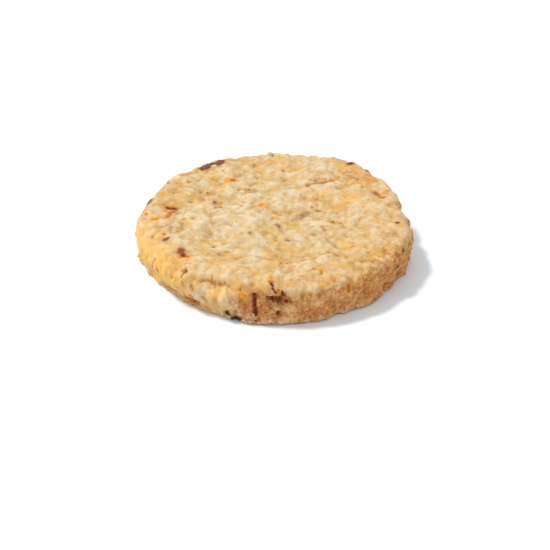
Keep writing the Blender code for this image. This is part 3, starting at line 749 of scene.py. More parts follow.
def fine_relief(points, facing_up):
    """Fine noise, crumbs, pores, cracks and holes, for the top and the wall."""
    top_bumps, top_holes = crumbs_and_pores(points, TOP_CRUMBS, TOP_PORES)
    wall_bumps, wall_holes = crumbs_and_pores(points, WALL_CRUMBS, WALL_PORES)
    top = (FINE_NOISE.sum(points, TOP_FINE) + flakes(points, TOP_FLAKES)
           + top_bumps + top_holes + crack_depth(points))
    upright = points * np.array(WALL_GRAIN)
    wall = (FINE_NOISE.sum(upright, WALL_FINE) + flakes(upright, WALL_FLAKES)
            + wall_bumps + wall_holes)
    bearing = bearing_of(points)
    wall = wall * (1.0 - FLANK_SMOOTH * lobes(bearing, FLANK)) + LIP_OUT * foot_lip(points)
    return (facing_up * top + (1.0 - facing_up) * wall + seam_depth(points)
            + hole_depth(points))


def surface(bearing, run, fine=True):
    """Points, normals and fine height of the finished body at each bearing and run."""
    points, normals = smooth_surface(bearing, run)
    facing_up = smooth_ramp(normals[:, 2], *FACING_UP)
    keep = smooth_ramp(points[:, 2], 0.0, FLAT_FOOT)
    offset = broad_relief(points, facing_up) * keep
    detail = np.zeros(len(points))
    if fine:
        detail = fine_relief(points, facing_up) * keep
        under = smooth_ramp(run, UNDER_START, UNDER_START + UNDER_FADE)
        shallow = -np.abs(FINE_NOISE.sum(points, UNDER_FINE))
        detail = detail + under * shallow
    return points + (offset + detail)[:, None] * normals, normals, detail


# ============================================================= mesh making
def square_to_disc(u, v):
    """Unit radius and bearing of points of a square, whose rings become circles."""
    ring = np.maximum(np.abs(u), np.abs(v))
    safe_u = np.where(np.abs(u) < 1e-9, 1e-9, u)
    safe_v = np.where(np.abs(v) < 1e-9, 1e-9, v)
    wide = np.abs(u) >= np.abs(v)
    quarter = np.where(wide, v / safe_u, 2.0 - u / safe_v)
    behind = np.where(wide, u < 0.0, v < 0.0)
    return ring, 45.0 * quarter + 180.0 * behind


def body_parameters():
    """Bearing and run of every corner, and the faces of the closed body.

    The top is a square grid bent into a disc. Its border is carried down in
    rows to the underside, which closes in rows on to one middle corner.
    """
    side = TOP_CELLS + 1
    line = np.linspace(-1.0, 1.0, side)
    u, v = np.meshgrid(line, line)
    ring, bearing = square_to_disc(u.ravel(), v.ravel())
    number = np.arange(side * side).reshape(side, side)
    loop = np.concatenate([number[0, :-1], number[:-1, -1], number[-1, :0:-1], number[:0:-1, 0]])
    runs = np.concatenate([
        RIM_START + np.arange(1, RIM_ROWS + 1) / RIM_ROWS,
        WALL_START + np.arange(1, WALL_ROWS + 1) / WALL_ROWS,
        FOOT_START + np.arange(1, FOOT_ROWS + 1) / FOOT_ROWS,
        UNDER_START + np.arange(1, UNDER_ROWS) / UNDER_ROWS,
    ])
    count = len(loop)
    rows = np.vstack([loop, side * side + np.arange(len(runs) * count).reshape(-1, count)])
    middle = rows[-1, -1] + 1
    all_bearings = np.concatenate([bearing, np.tile(bearing[loop], len(runs)), [0.0]])
    all_runs = np.concatenate([ring, np.repeat(runs, count), [UNDER_END]])
    top = np.stack([number[:-1, :-1], number[:-1, 1:], number[1:, 1:], number[1:, :-1]], axis=-1)
    here, following = rows, np.roll(rows, -1, axis=1)
    edge = np.stack([here[:-1], here[1:], following[1:], following[:-1]], axis=-1)
    quads = np.concatenate([top.reshape(-1, 4), edge.reshape(-1, 4)])
    fan = np.stack([following[-1], here[-1], np.full(count, middle)], axis=-1)
    return all_bearings, all_runs, quads, fan


def new_mesh_object(name, points, quads, triangles, attributes, stretch=(1.0, 1.0, 1.0)):
    """A smooth mesh object from arrays, in millimetres, with float attributes."""
    mesh = bpy.data.meshes.new(name)
    mesh.vertices.add(len(points))
    centred = (points - np.array(BOX_MIDDLE)) * np.array(stretch) * MM
    mesh.vertices.foreach_set("co", centred.astype(np.float32).ravel())
    mesh.loops.add(4 * len(quads) + 3 * len(triangles))
    mesh.loops.foreach_set("vertex_index",
                           np.concatenate([quads.ravel(), triangles.ravel()]).astype(np.int32))
    mesh.polygons.add(len(quads) + len(triangles))
    starts = np.concatenate([4 * np.arange(len(quads)),
                             4 * len(quads) + 3 * np.arange(len(triangles))])
    mesh.polygons.foreach_set("loop_start", starts.astype(np.int32))
    mesh.update(calc_edges=True)
    mesh.validate()
    mesh.shade_smooth()
    for label, values in attributes.items():
        layer = mesh.attributes.new(label, "FLOAT", "POINT")
        layer.data.foreach_set("value", values.astype(np.float32))
    thing = bpy.data.objects.new(name, mesh)
    bpy.context.scene.collection.objects.link(thing)
    return thing


def ball_grid(around, down):
    """Unit ball: corners in rings from pole to pole, its quads and its pole triangles."""
    turn = 2.0 * math.pi * np.arange(around) / around
    tilt = math.pi * np.arange(1, down - 1) / (down - 1)
    rings = np.stack([np.outer(np.sin(tilt), np.cos(turn)), np.outer(np.sin(tilt), np.sin(turn)),
                      np.repeat(np.cos(tilt)[:, None], around, axis=1)], axis=-1)
    corners = np.concatenate([rings.reshape(-1, 3), [[0.0, 0.0, 1.0], [0.0, 0.0, -1.0]]])
    number = np.arange((down - 2) * around).reshape(down - 2, around)
    following = np.roll(number, -1, axis=1)
    quads = np.stack([number[:-1], number[1:], following[1:], following[:-1]], axis=-1)
    top, bottom = len(corners) - 2, len(corners) - 1
    caps = np.concatenate([
        np.stack([np.full(around, top), number[0], following[0]], axis=-1),
        np.stack([np.full(around, bottom), following[-1], number[-1]], axis=-1),
    ])
    return corners, quads.reshape(-1, 4), caps


def wrapped_lumps(name, tables, grid, form, stretch):
    """Many closed lumps, each wrapped on to the body's surface.

    The tables are the lumps' places, (on top, x or bearing, y or height,
    bearing of the length), their sizes, (length, width, depth, stand out), and
    their tones. A lump is the unit ball, its radius shaken by noise, stretched
    to its sizes and turned. Its plan is laid along the surface and its third
    axis along the normal.
    """
    places, sizes, tones = tables
    wrinkle, squareness, seed_shift = form
    ball, quads, caps = ball_grid(*grid)
    count, corners = len(places), len(ball)
    shape = np.tile(ball, (count, 1))
    owner = np.repeat(np.arange(count), corners)
    shift = owner[:, None] * np.array(LUMP_SHIFT) + np.array([0.0, seed_shift, 0.0])
    shake = 1.0 + wrinkle * SHAPE_NOISE.sum(shape + shift, LUMP_NOISE)
    level = np.sign(shape[:, 2]) * np.abs(shape[:, 2]) ** squareness
    length, width, depth, stand_out = sizes[owner].T
    on_top, first, second, turned = places[owner].T
    turn = np.radians(turned)
    along = 0.5 * length * shape[:, 0] * shake
    across = 0.5 * width * shape[:, 1] * shake
    right = along * np.cos(turn) - across * np.sin(turn)
    up = along * np.sin(turn) + across * np.cos(turn)
    x, y = first + right, second + up
    top_bearing = np.degrees(np.arctan2(y, x))
    wall_bearing = first + np.degrees(right / RADIUS)
    bearing = np.where(on_top > 0.5, top_bearing, wall_bearing)
    height = np.clip(second + up, LOWEST_MIDDLE, None)
    run = np.where(on_top > 0.5, run_at_radius(bearing, np.hypot(x, y)),
                   run_at_height(bearing, height))
    points, normals, _ = surface(bearing, run, fine=False)
    toast = browning(points, run)
    proud = 0.5 * depth * (level * shake - 1.0) + stand_out
    points = points + proud[:, None] * normals
    points[:, 2] = np.maximum(points[:, 2], LOWEST_CORNER)
    stride = (np.arange(count) * corners)[:, None, None]
    all_quads = (quads[None] + stride).reshape(-1, 4)
    all_caps = (caps[None] + stride).reshape(-1, 3)
    attributes = {"tone": tones[owner], "level": 0.5 + 0.5 * shape[:, 2], "toast": toast}
    return new_mesh_object(name, points, all_quads, all_caps, attributes, stretch)


def surface_parameters(places):
    """Bearing and run of the middles of the pieces in a table of places."""
    on_top, first, second = places[:, 0] > 0.5, places[:, 1], places[:, 2]
    bearing = np.where(on_top, np.degrees(np.arctan2(second, first)), first)
    run = np.where(on_top, run_at_radius(bearing, np.hypot(first, second)),
                   run_at_height(bearing, second))
    return bearing, run


def off_the_flank(places):
    """Which of the places are kept where the smooth flank sheds its crumbs."""
    chance = np.random.default_rng(CRUMB_SEED).uniform(size=len(places))
    on_wall = places[:, 0] < 0.5
    return ~on_wall | (chance > FLANK_BARE * lobes(places[:, 1], FLANK))


def clear_of_fruit(places):
    """Which of the places don't lie on fruit, peel or a stain."""
    points, _, _ = surface(*surface_parameters(places), fine=False)
    fruit, _, _ = paint(points, TOP_CRANBERRIES, WALL_CRANBERRIES, TOP_STAINS, WALL_STAINS)
    peel, _, _ = paint(points, TOP_PEEL, WALL_PEEL, [], [])
    return np.maximum(fruit, peel) < CLEAR_BELOW


def piece_tables(top, wall, depth):
    """Place and size rows for named pieces of the top and of the wall."""
    places = [(1.0, x, y, turned) for x, y, _, _, turned, _, _ in top]
    places += [(0.0, bearing, up, 0.0) for bearing, up, _, _, _, _ in wall]
    sizes = [(length, width, depth, out) for _, _, length, width, _, out, _ in top]
    sizes += [(length, tall, depth, out) for _, _, length, tall, out, _ in wall]
    tones = [row[-1] for row in top + wall]
    return np.array(places), np.array(sizes), np.array(tones)


def oat_tables(on_top, on_wall):
    """Oat flakes: spread evenly by the golden angle, then shaken."""
    draw = np.random.default_rng(OAT_SEED)
    golden = 180.0 * (3.0 - math.sqrt(5.0))
    index = np.arange(on_top)
    reach = (RADIUS - OAT_MARGIN) * np.sqrt((index + 0.5) / on_top)
    turn = np.radians(golden * index + draw.uniform(-OAT_SHAKE, OAT_SHAKE, on_top))
    top = np.stack([np.ones(on_top), reach * np.cos(turn), reach * np.sin(turn),
                    draw.uniform(0.0, 180.0, on_top)], axis=1)
    index = np.arange(on_wall)
    shake = 0.5 * OAT_SHAKE
    wall = np.stack([np.zeros(on_wall),
                     360.0 * index / on_wall + draw.uniform(-shake, shake, on_wall),
                     draw.uniform(*OAT_LEVELS, on_wall),
                     draw.uniform(-OAT_TILT, OAT_TILT, on_wall)], axis=1)
    places = np.concatenate([top, wall])
    count = len(places)
    sizes = np.stack([draw.uniform(*OAT_LENGTH, count), draw.uniform(*OAT_WIDTH, count),
                      np.full(count, OAT_DEPTH), draw.uniform(*OAT_OUT, count)], axis=1)
    named_places, named_sizes, named_tones = piece_tables(TOP_OATS, [], OAT_DEPTH)
    return (np.concatenate([named_places, places]), np.concatenate([named_sizes, sizes]),
            np.concatenate([named_tones, draw.uniform(*OAT_TONES, count)]))


def crumb_tables(on_top, on_wall, on_foot, largest):
    """Loose crumbs: thicker near the rim of the top, all over the wall, and by the foot."""
    draw = np.random.default_rng(CRUMB_SEED)
    reach = RADIUS * draw.uniform(0.0, 1.0, on_top) ** CRUMB_SPREAD
    turn = draw.uniform(0.0, 2.0 * math.pi, on_top)
    top = np.stack([np.ones(on_top), reach * np.cos(turn), reach * np.sin(turn),
                    draw.uniform(0.0, 180.0, on_top)], axis=1)
    wall = np.stack([np.zeros(on_wall), draw.uniform(0.0, 360.0, on_wall),
                     draw.uniform(*WALL_CRUMB_LEVELS, on_wall),
                     draw.uniform(0.0, 180.0, on_wall)], axis=1)
    foot = np.stack([np.zeros(on_foot), draw.uniform(*FOOT_CRUMB_BEARINGS, on_foot),
                     draw.uniform(*FOOT_CRUMB_LEVELS, on_foot),
                     draw.uniform(0.0, 180.0, on_foot)], axis=1)
    places = np.concatenate([top, wall, foot])
    count = len(places)
    share = draw.uniform(size=count) ** CRUMB_FINENESS
    size = SMALLEST_CRUMB + (largest - SMALLEST_CRUMB) * share
    flat = places[:, 0] > 0.5
    size = np.where(flat, TOP_CRUMB_SIZE * size, size)
    stand_out = size * np.where(flat, TOP_CRUMB_OUT, WALL_CRUMB_OUT)
    sizes = np.stack([size * draw.uniform(*CRUMB_LENGTHS, count), size, size, stand_out], axis=1)
    tones = np.concatenate([draw.uniform(*TOP_CRUMB_TONES, on_top),
                            draw.uniform(*WALL_CRUMB_TONES, on_wall),
                            draw.uniform(*FOOT_CRUMB_TONES, on_foot)])
    own_places = [(0.0, bearing, up, 0.0) for bearing, up, _, _, _ in OWN_CRUMBS]
    own_sizes = [(OWN_CRUMB_LENGTH * across, across, across, out)
                 for _, _, across, out, _ in OWN_CRUMBS]
    own_tones = [tone for _, _, _, _, tone in OWN_CRUMBS]
    return (np.concatenate([own_places, places]), np.concatenate([own_sizes, sizes]),
            np.concatenate([own_tones, tones]))


# ================================================================== materials
def node(tree, kind, links=(), **values):
    """A new node with some of its settings, input values and input links."""
    made = tree.nodes.new(kind)
    for label, value in values.items():
        setattr(made, label, value)
    for socket, value in links:
        if isinstance(value, bpy.types.NodeSocket):
            tree.links.new(value, made.inputs[socket])
        else:
            made.inputs[socket].default_value = value
    return made


def mix_colour(tree, share, first, second):
    """The first colour turned into the second by the share, each a socket or a value."""
    made = tree.nodes.new("ShaderNodeMix")
    made.data_type = "RGBA"
    for socket, value in ((made.inputs["Factor"], share), (made.inputs[6], first),
                          (made.inputs[7], second)):
        if isinstance(value, bpy.types.NodeSocket):
            tree.links.new(value, socket)
        elif isinstance(value, (int, float)):
            socket.default_value = value
        else:
            socket.default_value = (*value, 1.0)
    return made.outputs[2]


def maths(tree, operation, *values, clamp=False):
    """Result of a Math node on sockets or numbers."""
    made = node(tree, "ShaderNodeMath", list(enumerate(values)), operation=operation)
    made.use_clamp = clamp
    return made.outputs[0]


def ramp(tree, value, low, high, to_low=0.0, to_high=1.0):
    """Smooth change from to_low to to_high as the value goes from low to high."""
    made = node(tree, "ShaderNodeMapRange",
                [("Value", value), ("From Min", low), ("From Max", high),
                 ("To Min", to_low), ("To Max", to_high)])
    made.interpolation_type = "SMOOTHSTEP"
    return made.outputs["Result"]


def attribute(tree, label):
    """Value of one of the mesh's float attributes."""
    return node(tree, "ShaderNodeAttribute", attribute_name=label).outputs["Fac"]


def speckle_group():
    """Shared effect: mottling at two sizes, flakes each of its own tone, dark bran
    specks and a height for bump."""
    group = bpy.data.node_groups.new("baked mottle", "ShaderNodeTree")
    socket = group.interface.new_socket
    socket("Coordinates", in_out="INPUT", socket_type="NodeSocketVector")
    socket("Patch size", in_out="INPUT", socket_type="NodeSocketFloat")
    socket("Grain size", in_out="INPUT", socket_type="NodeSocketFloat")
    for label in ("Patches", "Grain", "Flake", "Shade", "Specks", "Height"):
        socket(label, in_out="OUTPUT", socket_type="NodeSocketFloat")
    start = group.nodes.new("NodeGroupInput").outputs
    patch_scale = maths(group, "DIVIDE", 1.0, start["Patch size"])
    grain_scale = maths(group, "DIVIDE", 1.0, start["Grain size"])
    patches = node(group, "ShaderNodeTexNoise",
                   [("Vector", start["Coordinates"]), ("Scale", patch_scale),
                    ("Detail", 3.0), ("Roughness", 0.55)]).outputs["Fac"]
    grain = node(group, "ShaderNodeTexNoise",
                 [("Vector", start["Coordinates"]), ("Scale", grain_scale),
                  ("Detail", 3.0), ("Roughness", 0.65)])
    bent = node(group, "ShaderNodeVectorMath",
                [(0, grain.outputs["Color"]), (1, (0.5, 0.5, 0.5))], operation="SUBTRACT")
    reach = node(group, "ShaderNodeVectorMath",
                 [(0, bent.outputs[0]), ("Scale", start["Patch size"])], operation="SCALE")
    moved = node(group, "ShaderNodeVectorMath",
                 [(0, start["Coordinates"]), (1, reach.outputs[0])], operation="ADD").outputs[0]
    tones = node(group, "ShaderNodeSeparateColor",
                 [(0, node(group, "ShaderNodeTexVoronoi", [("Vector", moved), ("Scale", patch_scale)],
                           feature="SMOOTH_F1").outputs["Color"])]).outputs
    cells = node(group, "ShaderNodeTexVoronoi",
                 [("Vector", start["Coordinates"]),
                  ("Scale", maths(group, "MULTIPLY", patch_scale, 1.3)), ("Randomness", 1.0)])
    chosen = ramp(group, node(group, "ShaderNodeSeparateColor",
                              [(0, cells.outputs["Color"])]).outputs[0], 0.62, 0.7)
    spots = ramp(group, cells.outputs["Distance"], 0.20, 0.08)
    end = group.nodes.new("NodeGroupOutput").inputs
    group.links.new(ramp(group, patches, 0.34, 0.66), end["Patches"])
    group.links.new(ramp(group, grain.outputs["Fac"], 0.32, 0.68), end["Grain"])
    group.links.new(ramp(group, tones[0], 0.25, 0.80), end["Flake"])
    group.links.new(ramp(group, tones[1], 0.25, 0.80), end["Shade"])
    group.links.new(maths(group, "MULTIPLY", chosen, spots), end["Specks"])
    group.links.new(maths(group, "ADD", maths(group, "MULTIPLY", grain.outputs["Fac"], 0.7),
                          maths(group, "MULTIPLY", patches, 0.3)), end["Height"])
    return group


def new_material(name):
    """A material with one Principled shader, and its tree, shader and Object coordinates."""
    material = bpy.data.materials.new(name)
    material.use_nodes = True
    tree = material.node_tree
    shader = tree.nodes["Principled BSDF"]
    coordinates = tree.nodes.new("ShaderNodeTexCoord").outputs["Object"]
    return material, tree, shader, coordinates


def mottle(tree, coordinates, patch_size, grain_size):
    """Outputs of the shared mottle, placed with its own sizes in millimetres."""
    made = tree.nodes.new("ShaderNodeGroup")
    made.node_tree = bpy.data.node_groups.get("baked mottle") or speckle_group()
    tree.links.new(coordinates, made.inputs["Coordinates"])
    made.inputs["Patch size"].default_value = patch_size * MM
    made.inputs["Grain size"].default_value = grain_size * MM
    return made.outputs


def finish_shader(tree, shader, colour, spots, finish, bump_strength):
    """Give the shader its colour, and its roughness, gloss and bump by the mottle.

    The finish is (roughness where the grain is low and where it is high, gloss,
    depth of the bump in millimetres).
    """
    roughness, gloss, depth = finish
    tree.links.new(colour, shader.inputs["Base Color"])
    tree.links.new(ramp(tree, spots["Grain"], 0.0, 1.0, *roughness), shader.inputs["Roughness"])
    shader.inputs["Specular IOR Level"].default_value = gloss
    bump = node(tree, "ShaderNodeBump", [("Height", spots["Height"]), ("Distance", depth * MM),
                                         ("Strength", bump_strength)])
    tree.links.new(bump.outputs["Normal"], shader.inputs["Normal"])


def let_light_in(shader, light):
    """Soft scattering under the surface: (red, green and blue reach, depth)."""
    reach, depth = light
    shader.inputs["Subsurface Weight"].default_value = LIGHT_LET_IN
    shader.inputs["Subsurface Radius"].default_value = reach
    shader.inputs["Subsurface Scale"].default_value = depth * MM


def thin_edge(tree, share):
    """Share of the edge's colour, by the level of the piece's corners."""
    edge = ramp(tree, attribute(tree, "level"), *THIN_EDGE)
    return maths(tree, "MULTIPLY", edge, share)


def flesh_group(name, colours, steps):
    """Shared effect: the colour of fruit or peel by its tone, shaken by the mottle.

    steps are the tones where one colour of the list has turned into the next.
    """
    group = bpy.data.node_groups.new(name, "ShaderNodeTree")
    for label in ("Tone", "Patches"):
        group.interface.new_socket(label, in_out="INPUT", socket_type="NodeSocketFloat")
    group.interface.new_socket("Colour", in_out="OUTPUT", socket_type="NodeSocketColor")
    start = group.nodes.new("NodeGroupInput").outputs
    shaken = maths(group, "ADD", start["Tone"],
                   ramp(group, start["Patches"], 0.0, 1.0, -FLESH_SHAKE, FLESH_SHAKE))
    colour = colours[0]
    for (low, high), following in zip(steps, colours[1:]):
        colour = mix_colour(group, ramp(group, shaken, low, high), colour, following)
    group.links.new(colour, group.nodes.new("NodeGroupOutput").inputs["Colour"])
    return group


def flesh(tree, name, colours, steps, tone, patches):
    """Colour of the named flesh group, made when it is first asked for."""
    made = tree.nodes.new("ShaderNodeGroup")
    made.node_tree = bpy.data.node_groups.get(name) or flesh_group(name, colours, steps)
    tree.links.new(tone, made.inputs["Tone"])
    tree.links.new(patches, made.inputs["Patches"])
    return made.outputs["Colour"]


def fruit_flesh(tree, settings, tone, patches):
    """Cranberry from blue over dark and red to grey, the grey partly a painted sheen."""
    colours = (settings.fruit_blue, settings.fruit_dark, settings.fruit_red, settings.fruit_bloom_and_sheen)
    return flesh(tree, "fruit flesh", colours, FRUIT_STEPS, tone, patches)


def peel_flesh(tree, settings, tone, patches):
    """Orange peel from bright to brown."""
    colours = (settings.peel, settings.peel_brown)
    return flesh(tree, "peel flesh", colours, PEEL_STEPS, tone, patches)


def shaded_colour(tree, colour, light):
    """Painted light and shade: the colour times 1 + light times each channel's weight, so that its
    dark parts are also browner.
    """
    factor = node(tree, "ShaderNodeVectorMath",
                  [(0, light), (1, SHADE_WARMTH), (2, (1.0, 1.0, 1.0))],
                  operation="MULTIPLY_ADD").outputs[0]
    return node(tree, "ShaderNodeVectorMath", [(0, colour), (1, factor)],
                operation="MULTIPLY").outputs[0]


def crumb_light_and_shade(tree, coordinates, toast):
    """Painted light and shade of the browned wall's open crumb, about 0, drawn out upwards: shade
    between the crumbs and light on them.
    """
    drawn = node(tree, "ShaderNodeVectorMath", [(0, coordinates), (1, CRUMB_DRAWN)],
                 operation="MULTIPLY").outputs[0]
    contrast = 0.0
    for size, dark, light in CRUMB_SHADE_GRAINS:
        grain = node(tree, "ShaderNodeTexNoise",
                     [("Vector", drawn), ("Scale", 1.0 / (size * MM)), ("Detail", 2.0),
                      ("Roughness", 0.8)]).outputs["Fac"]
        contrast = maths(tree, "ADD", contrast, ramp(tree, grain, 0.30, 0.70, dark, light))
    return maths(tree, "MULTIPLY", ramp(tree, toast, 0.0, 0.60), contrast)


def dough_colour(tree, settings, coordinates, toast, gild, relief=0.5):
    """Dough from cream to gold in patches, browned by the toast mask; and its mottle.

    Crests are creamier and hollows more golden and darker, by the relief mask: partly painted light
    on the crests and painted warm shade in the hollows.
    """
    spots = mottle(tree, coordinates, *DOUGH_MOTTLE)
    wide = mottle(tree, coordinates, *WIDE_MOTTLE)
    colour = mix_colour(tree, spots["Patches"], settings.cream, settings.dough)
    golden = maths(tree, "MULTIPLY", ramp(tree, wide["Flake"], 0.0, 1.0, 0.20, 1.0),
                   ramp(tree, gild, 0.0, 1.0, 0.10, 1.0))
    colour = mix_colour(tree, golden, colour, settings.gold)
    colour = mix_colour(tree, maths(tree, "MULTIPLY", spots["Flake"], HONEY_FLAKES), colour,
                        settings.honey)
    pale = maths(tree, "MULTIPLY", wide["Grain"], ramp(tree, gild, 0.0, 1.0, 0.65, 0.35))
    colour = mix_colour(tree, pale, colour, settings.cream)
    # Partly painted light on the crests and painted warm shade in the hollows.
    crests = maths(tree, "MULTIPLY", ramp(tree, relief, 0.55, 0.85, 0.0, CREAM_CRESTS),
                   ramp(tree, gild, 0.0, 1.0, 1.0, 0.4))
    colour = mix_colour(tree, crests, colour, settings.cream)
    hollows = ramp(tree, relief, 0.45, 0.15, 0.0, HONEY_HOLLOWS)
    colour = mix_colour(tree, hollows, colour, settings.honey)
    colour = mix_colour(tree, maths(tree, "MULTIPLY", spots["Shade"], TAN_FLAKES), colour,
                        settings.tan)
    toasted = mix_colour(tree, spots["Patches"], settings.toast_light, settings.toast)
    toasted = mix_colour(tree, maths(tree, "MULTIPLY", wide["Grain"], RED_PATCHES), toasted,
                         settings.toast_red)
    share = maths(tree, "MULTIPLY", toast, ramp(tree, spots["Grain"], 0.0, 1.0, 0.88, 1.08),
                  clamp=True)
    colour = mix_colour(tree, share, colour, toasted)
    # Painted shade: darker between the wall's crumbs and in the hollows, lighter on the crests.
    light = maths(tree, "ADD", crumb_light_and_shade(tree, coordinates, toast),
                  ramp(tree, relief, 0.05, 0.95, -0.12, 0.06))
    return shaded_colour(tree, colour, light), spots, wide


def crumb_material(settings):
    """Baked dough: cream and gold patches, toasted wall, stains by the fruit, and painted shade in
    its pores, cracks and holes.
    """
    material, tree, shader, coordinates = new_material("baked crumb")
    toast = attribute(tree, "toast")
    gild = attribute(tree, "gild")
    detail = attribute(tree, "detail")
    colour, spots, wide = dough_colour(tree, settings, coordinates, toast, gild,
                                       attribute(tree, "relief"))
    pale = mix_colour(tree, gild, settings.cream, settings.butter)
    pale = mix_colour(tree, ramp(tree, toast, 0.3, 0.7), pale, settings.toast_pale)
    colour = mix_colour(tree, attribute(tree, "pale"), colour, pale)
    # Painted shade: pore colour where the fine relief is lowest.
    pores = maths(tree, "MULTIPLY", ramp(tree, detail, 0.44, 0.20), PORE_SHADE)
    colour = mix_colour(tree, pores, colour, settings.pore)
    # Painted shade in the cracks, seams and holes, darker where deeper.
    colour = mix_colour(tree, attribute(tree, "crack"), colour, settings.crack)
    colour = mix_colour(tree, attribute(tree, "hole_shade"), colour, settings.hole_shade)
    # Crests of the fine relief creamier, partly painted light.
    crest = maths(tree, "MULTIPLY", ramp(tree, detail, 0.56, 0.78, 0.0, CREAM_AND_LIGHT_ON_CRESTS),
                  ramp(tree, gild, 0.3, 1.0, 1.0, 0.3))
    crest = maths(tree, "MULTIPLY", crest, ramp(tree, toast, 0.3, 0.8, 1.0, 0.3))
    colour = mix_colour(tree, crest, colour, settings.cream)
    colour = mix_colour(tree, maths(tree, "MULTIPLY", wide["Specks"], SPECK_BROWN), colour,
                        settings.pore)
    colour = mix_colour(tree, attribute(tree, "glow"), colour, settings.peel_glow)
    colour = mix_colour(tree, attribute(tree, "halo"), colour, settings.stain)
    peel = peel_flesh(tree, settings, attribute(tree, "peel_tone"), spots["Patches"])
    colour = mix_colour(tree, attribute(tree, "peel"), colour, peel)
    fruit = fruit_flesh(tree, settings, attribute(tree, "fruit_tone"), spots["Patches"])
    colour = mix_colour(tree, attribute(tree, "fruit"), colour, fruit)
    rougher_wall = ramp(tree, toast, 0.1, 0.5, *DOUGH_BUMP)
    finish_shader(tree, shader, colour, spots, DOUGH_FINISH, rougher_wall)
    let_light_in(shader, DOUGH_LIGHT)
    return material


def cranberry_material(settings):
    """Dried fruit: dark flesh, redder or greyer by its tone, brown at its thin edge."""
    material, tree, shader, coordinates = new_material("dried cranberry")
    spots = mottle(tree, coordinates, *FRUIT_MOTTLE)
    colour = fruit_flesh(tree, settings, attribute(tree, "tone"), spots["Patches"])
    colour = mix_colour(tree, thin_edge(tree, FRUIT_EDGE_SHARE), colour, settings.fruit_edge)
    finish_shader(tree, shader, colour, spots, FRUIT_FINISH, FRUIT_BUMP)
    return material


def peel_material(settings):
    """Candied orange peel: bright orange with a browner baked side."""
    material, tree, shader, coordinates = new_material("orange peel")
    spots = mottle(tree, coordinates, *PEEL_MOTTLE)
    colour = peel_flesh(tree, settings, attribute(tree, "tone"), spots["Patches"])
    colour = mix_colour(tree, thin_edge(tree, PEEL_EDGE_SHARE), colour, settings.peel_glow)
    finish_shader(tree, shader, colour, spots, PEEL_FINISH, FINE_BUMP)
    let_light_in(shader, PEEL_LIGHT)
    return material


def oat_material(settings):
    """Rolled oats in the dough: pale, papery, baked with the dough round them."""
    material, tree, shader, coordinates = new_material("oat flake")
    toast = attribute(tree, "toast")
    tone = attribute(tree, "tone")
    dough, spots, _ = dough_colour(tree, settings, coordinates, toast, tone)
    papery = maths(tree, "MULTIPLY", ramp(tree, toast, 0.2, 0.8, 1.0, 0.35),
                   ramp(tree, tone, 0.0, 1.0, 0.60, 0.10))
    colour = mix_colour(tree, papery, dough, settings.oat)
    finish_shader(tree, shader, colour, spots, OAT_FINISH, FINE_BUMP)
    return material


def loose_crumb_material(settings):
    """Crumbs: the dough round them, lighter or browner by the crumb."""
    material, tree, shader, coordinates = new_material("loose crumb")
    tone = attribute(tree, "tone")
    colour, spots, _ = dough_colour(tree, settings, coordinates, attribute(tree, "toast"), tone)
    colour = mix_colour(tree, ramp(tree, tone, 0.80, 1.0, 0.0, 0.7), colour, settings.toast)
    colour = mix_colour(tree, ramp(tree, tone, 0.25, 0.0, 0.0, 0.6), colour, settings.cream)
    finish_shader(tree, shader, colour, spots, CRUMB_FINISH, FINE_BUMP)
    return material


# ===================================================================== pieces
def finish_piece(thing, material, slot, *nodes):
    """Give a piece its material and body, and hide the solids it stands for. The slot is not used."""
    thing.data.materials.append(material)
    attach(thing, BODY)
    if nodes:
        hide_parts(*nodes)


def away_from_piece(points, places, wander):
    """Least distance to any piece, 1 at its edge, with that piece's tone.

    The distance is sqrt(u^2 + v^2) in the piece's own half lengths, shaken by
    noise so that the edge wanders.
    """
    nearest = np.full(len(points), FAR)
    tone = np.zeros(len(points))
    for right, up, length, width, turned, own_tone, near in places:
        turn = math.radians(turned)
        along = (right * math.cos(turn) + up * math.sin(turn)) / (0.5 * length)
        across = (up * math.cos(turn) - right * math.sin(turn)) / (0.5 * width)
        away = np.where(near, np.hypot(along, across) + wander, FAR)
        tone = np.where(away < nearest, own_tone, tone)
        nearest = np.minimum(nearest, away)
    return nearest, tone


def paint(points, top, wall, top_stains, wall_stains):
    """Core, tone and halo of the named pieces and thin stains, at each point.

    The core falls smoothly from 1 to 0 over a piece's edge, the halo by the bell
    exp(-d^2 / spread) of the distance d beyond it.
    """
    plan = points[:, :2]
    lines = line_coordinates(points)
    high = points[:, 2] > TOP_MARKS_ABOVE
    outer = np.hypot(plan[:, 0], plan[:, 1]) > RADIUS - WALL_MARKS_WITHIN
    places = [(plan[:, 0] - x, plan[:, 1] - y, length, width, turned, tone, high)
              for x, y, length, width, turned, _, tone in top]
    bearing = bearing_of(points)
    places += [(along_wall(bearing, centre), points[:, 2] - level, length, tall, 0.0, tone,
                outer) for centre, level, length, tall, _, tone in wall]
    wander = wandering(points)
    nearest, tone = away_from_piece(points, places, wander)
    core = 1.0 - smooth_ramp(nearest, *PIECE_EDGE)
    halo = HALO_SHARE * np.exp(-np.maximum(nearest - HALO_START, 0.0) ** 2 / HALO_SPREAD)
    for drawn, on_plan, near in ((top_stains, True, high), (wall_stains, False, outer)):
        for start, end, half_width, own_tone, strength in drawn:
            where = (plan, start, end) if on_plan else (lines, *wall_line(start, end))
            away = segment_distance(*where) / half_width + wander
            mark = strength * (1.0 - smooth_ramp(away, *STAIN_EDGE)) * near
            tone = np.where(mark > core, own_tone, tone)
            core = np.maximum(core, mark)
            bell = np.exp(-(away / STAIN_HALO_WIDTH) ** 2)
            halo = np.maximum(halo, STAIN_HALO_SHARE * strength * bell * near)
    return core, tone, halo


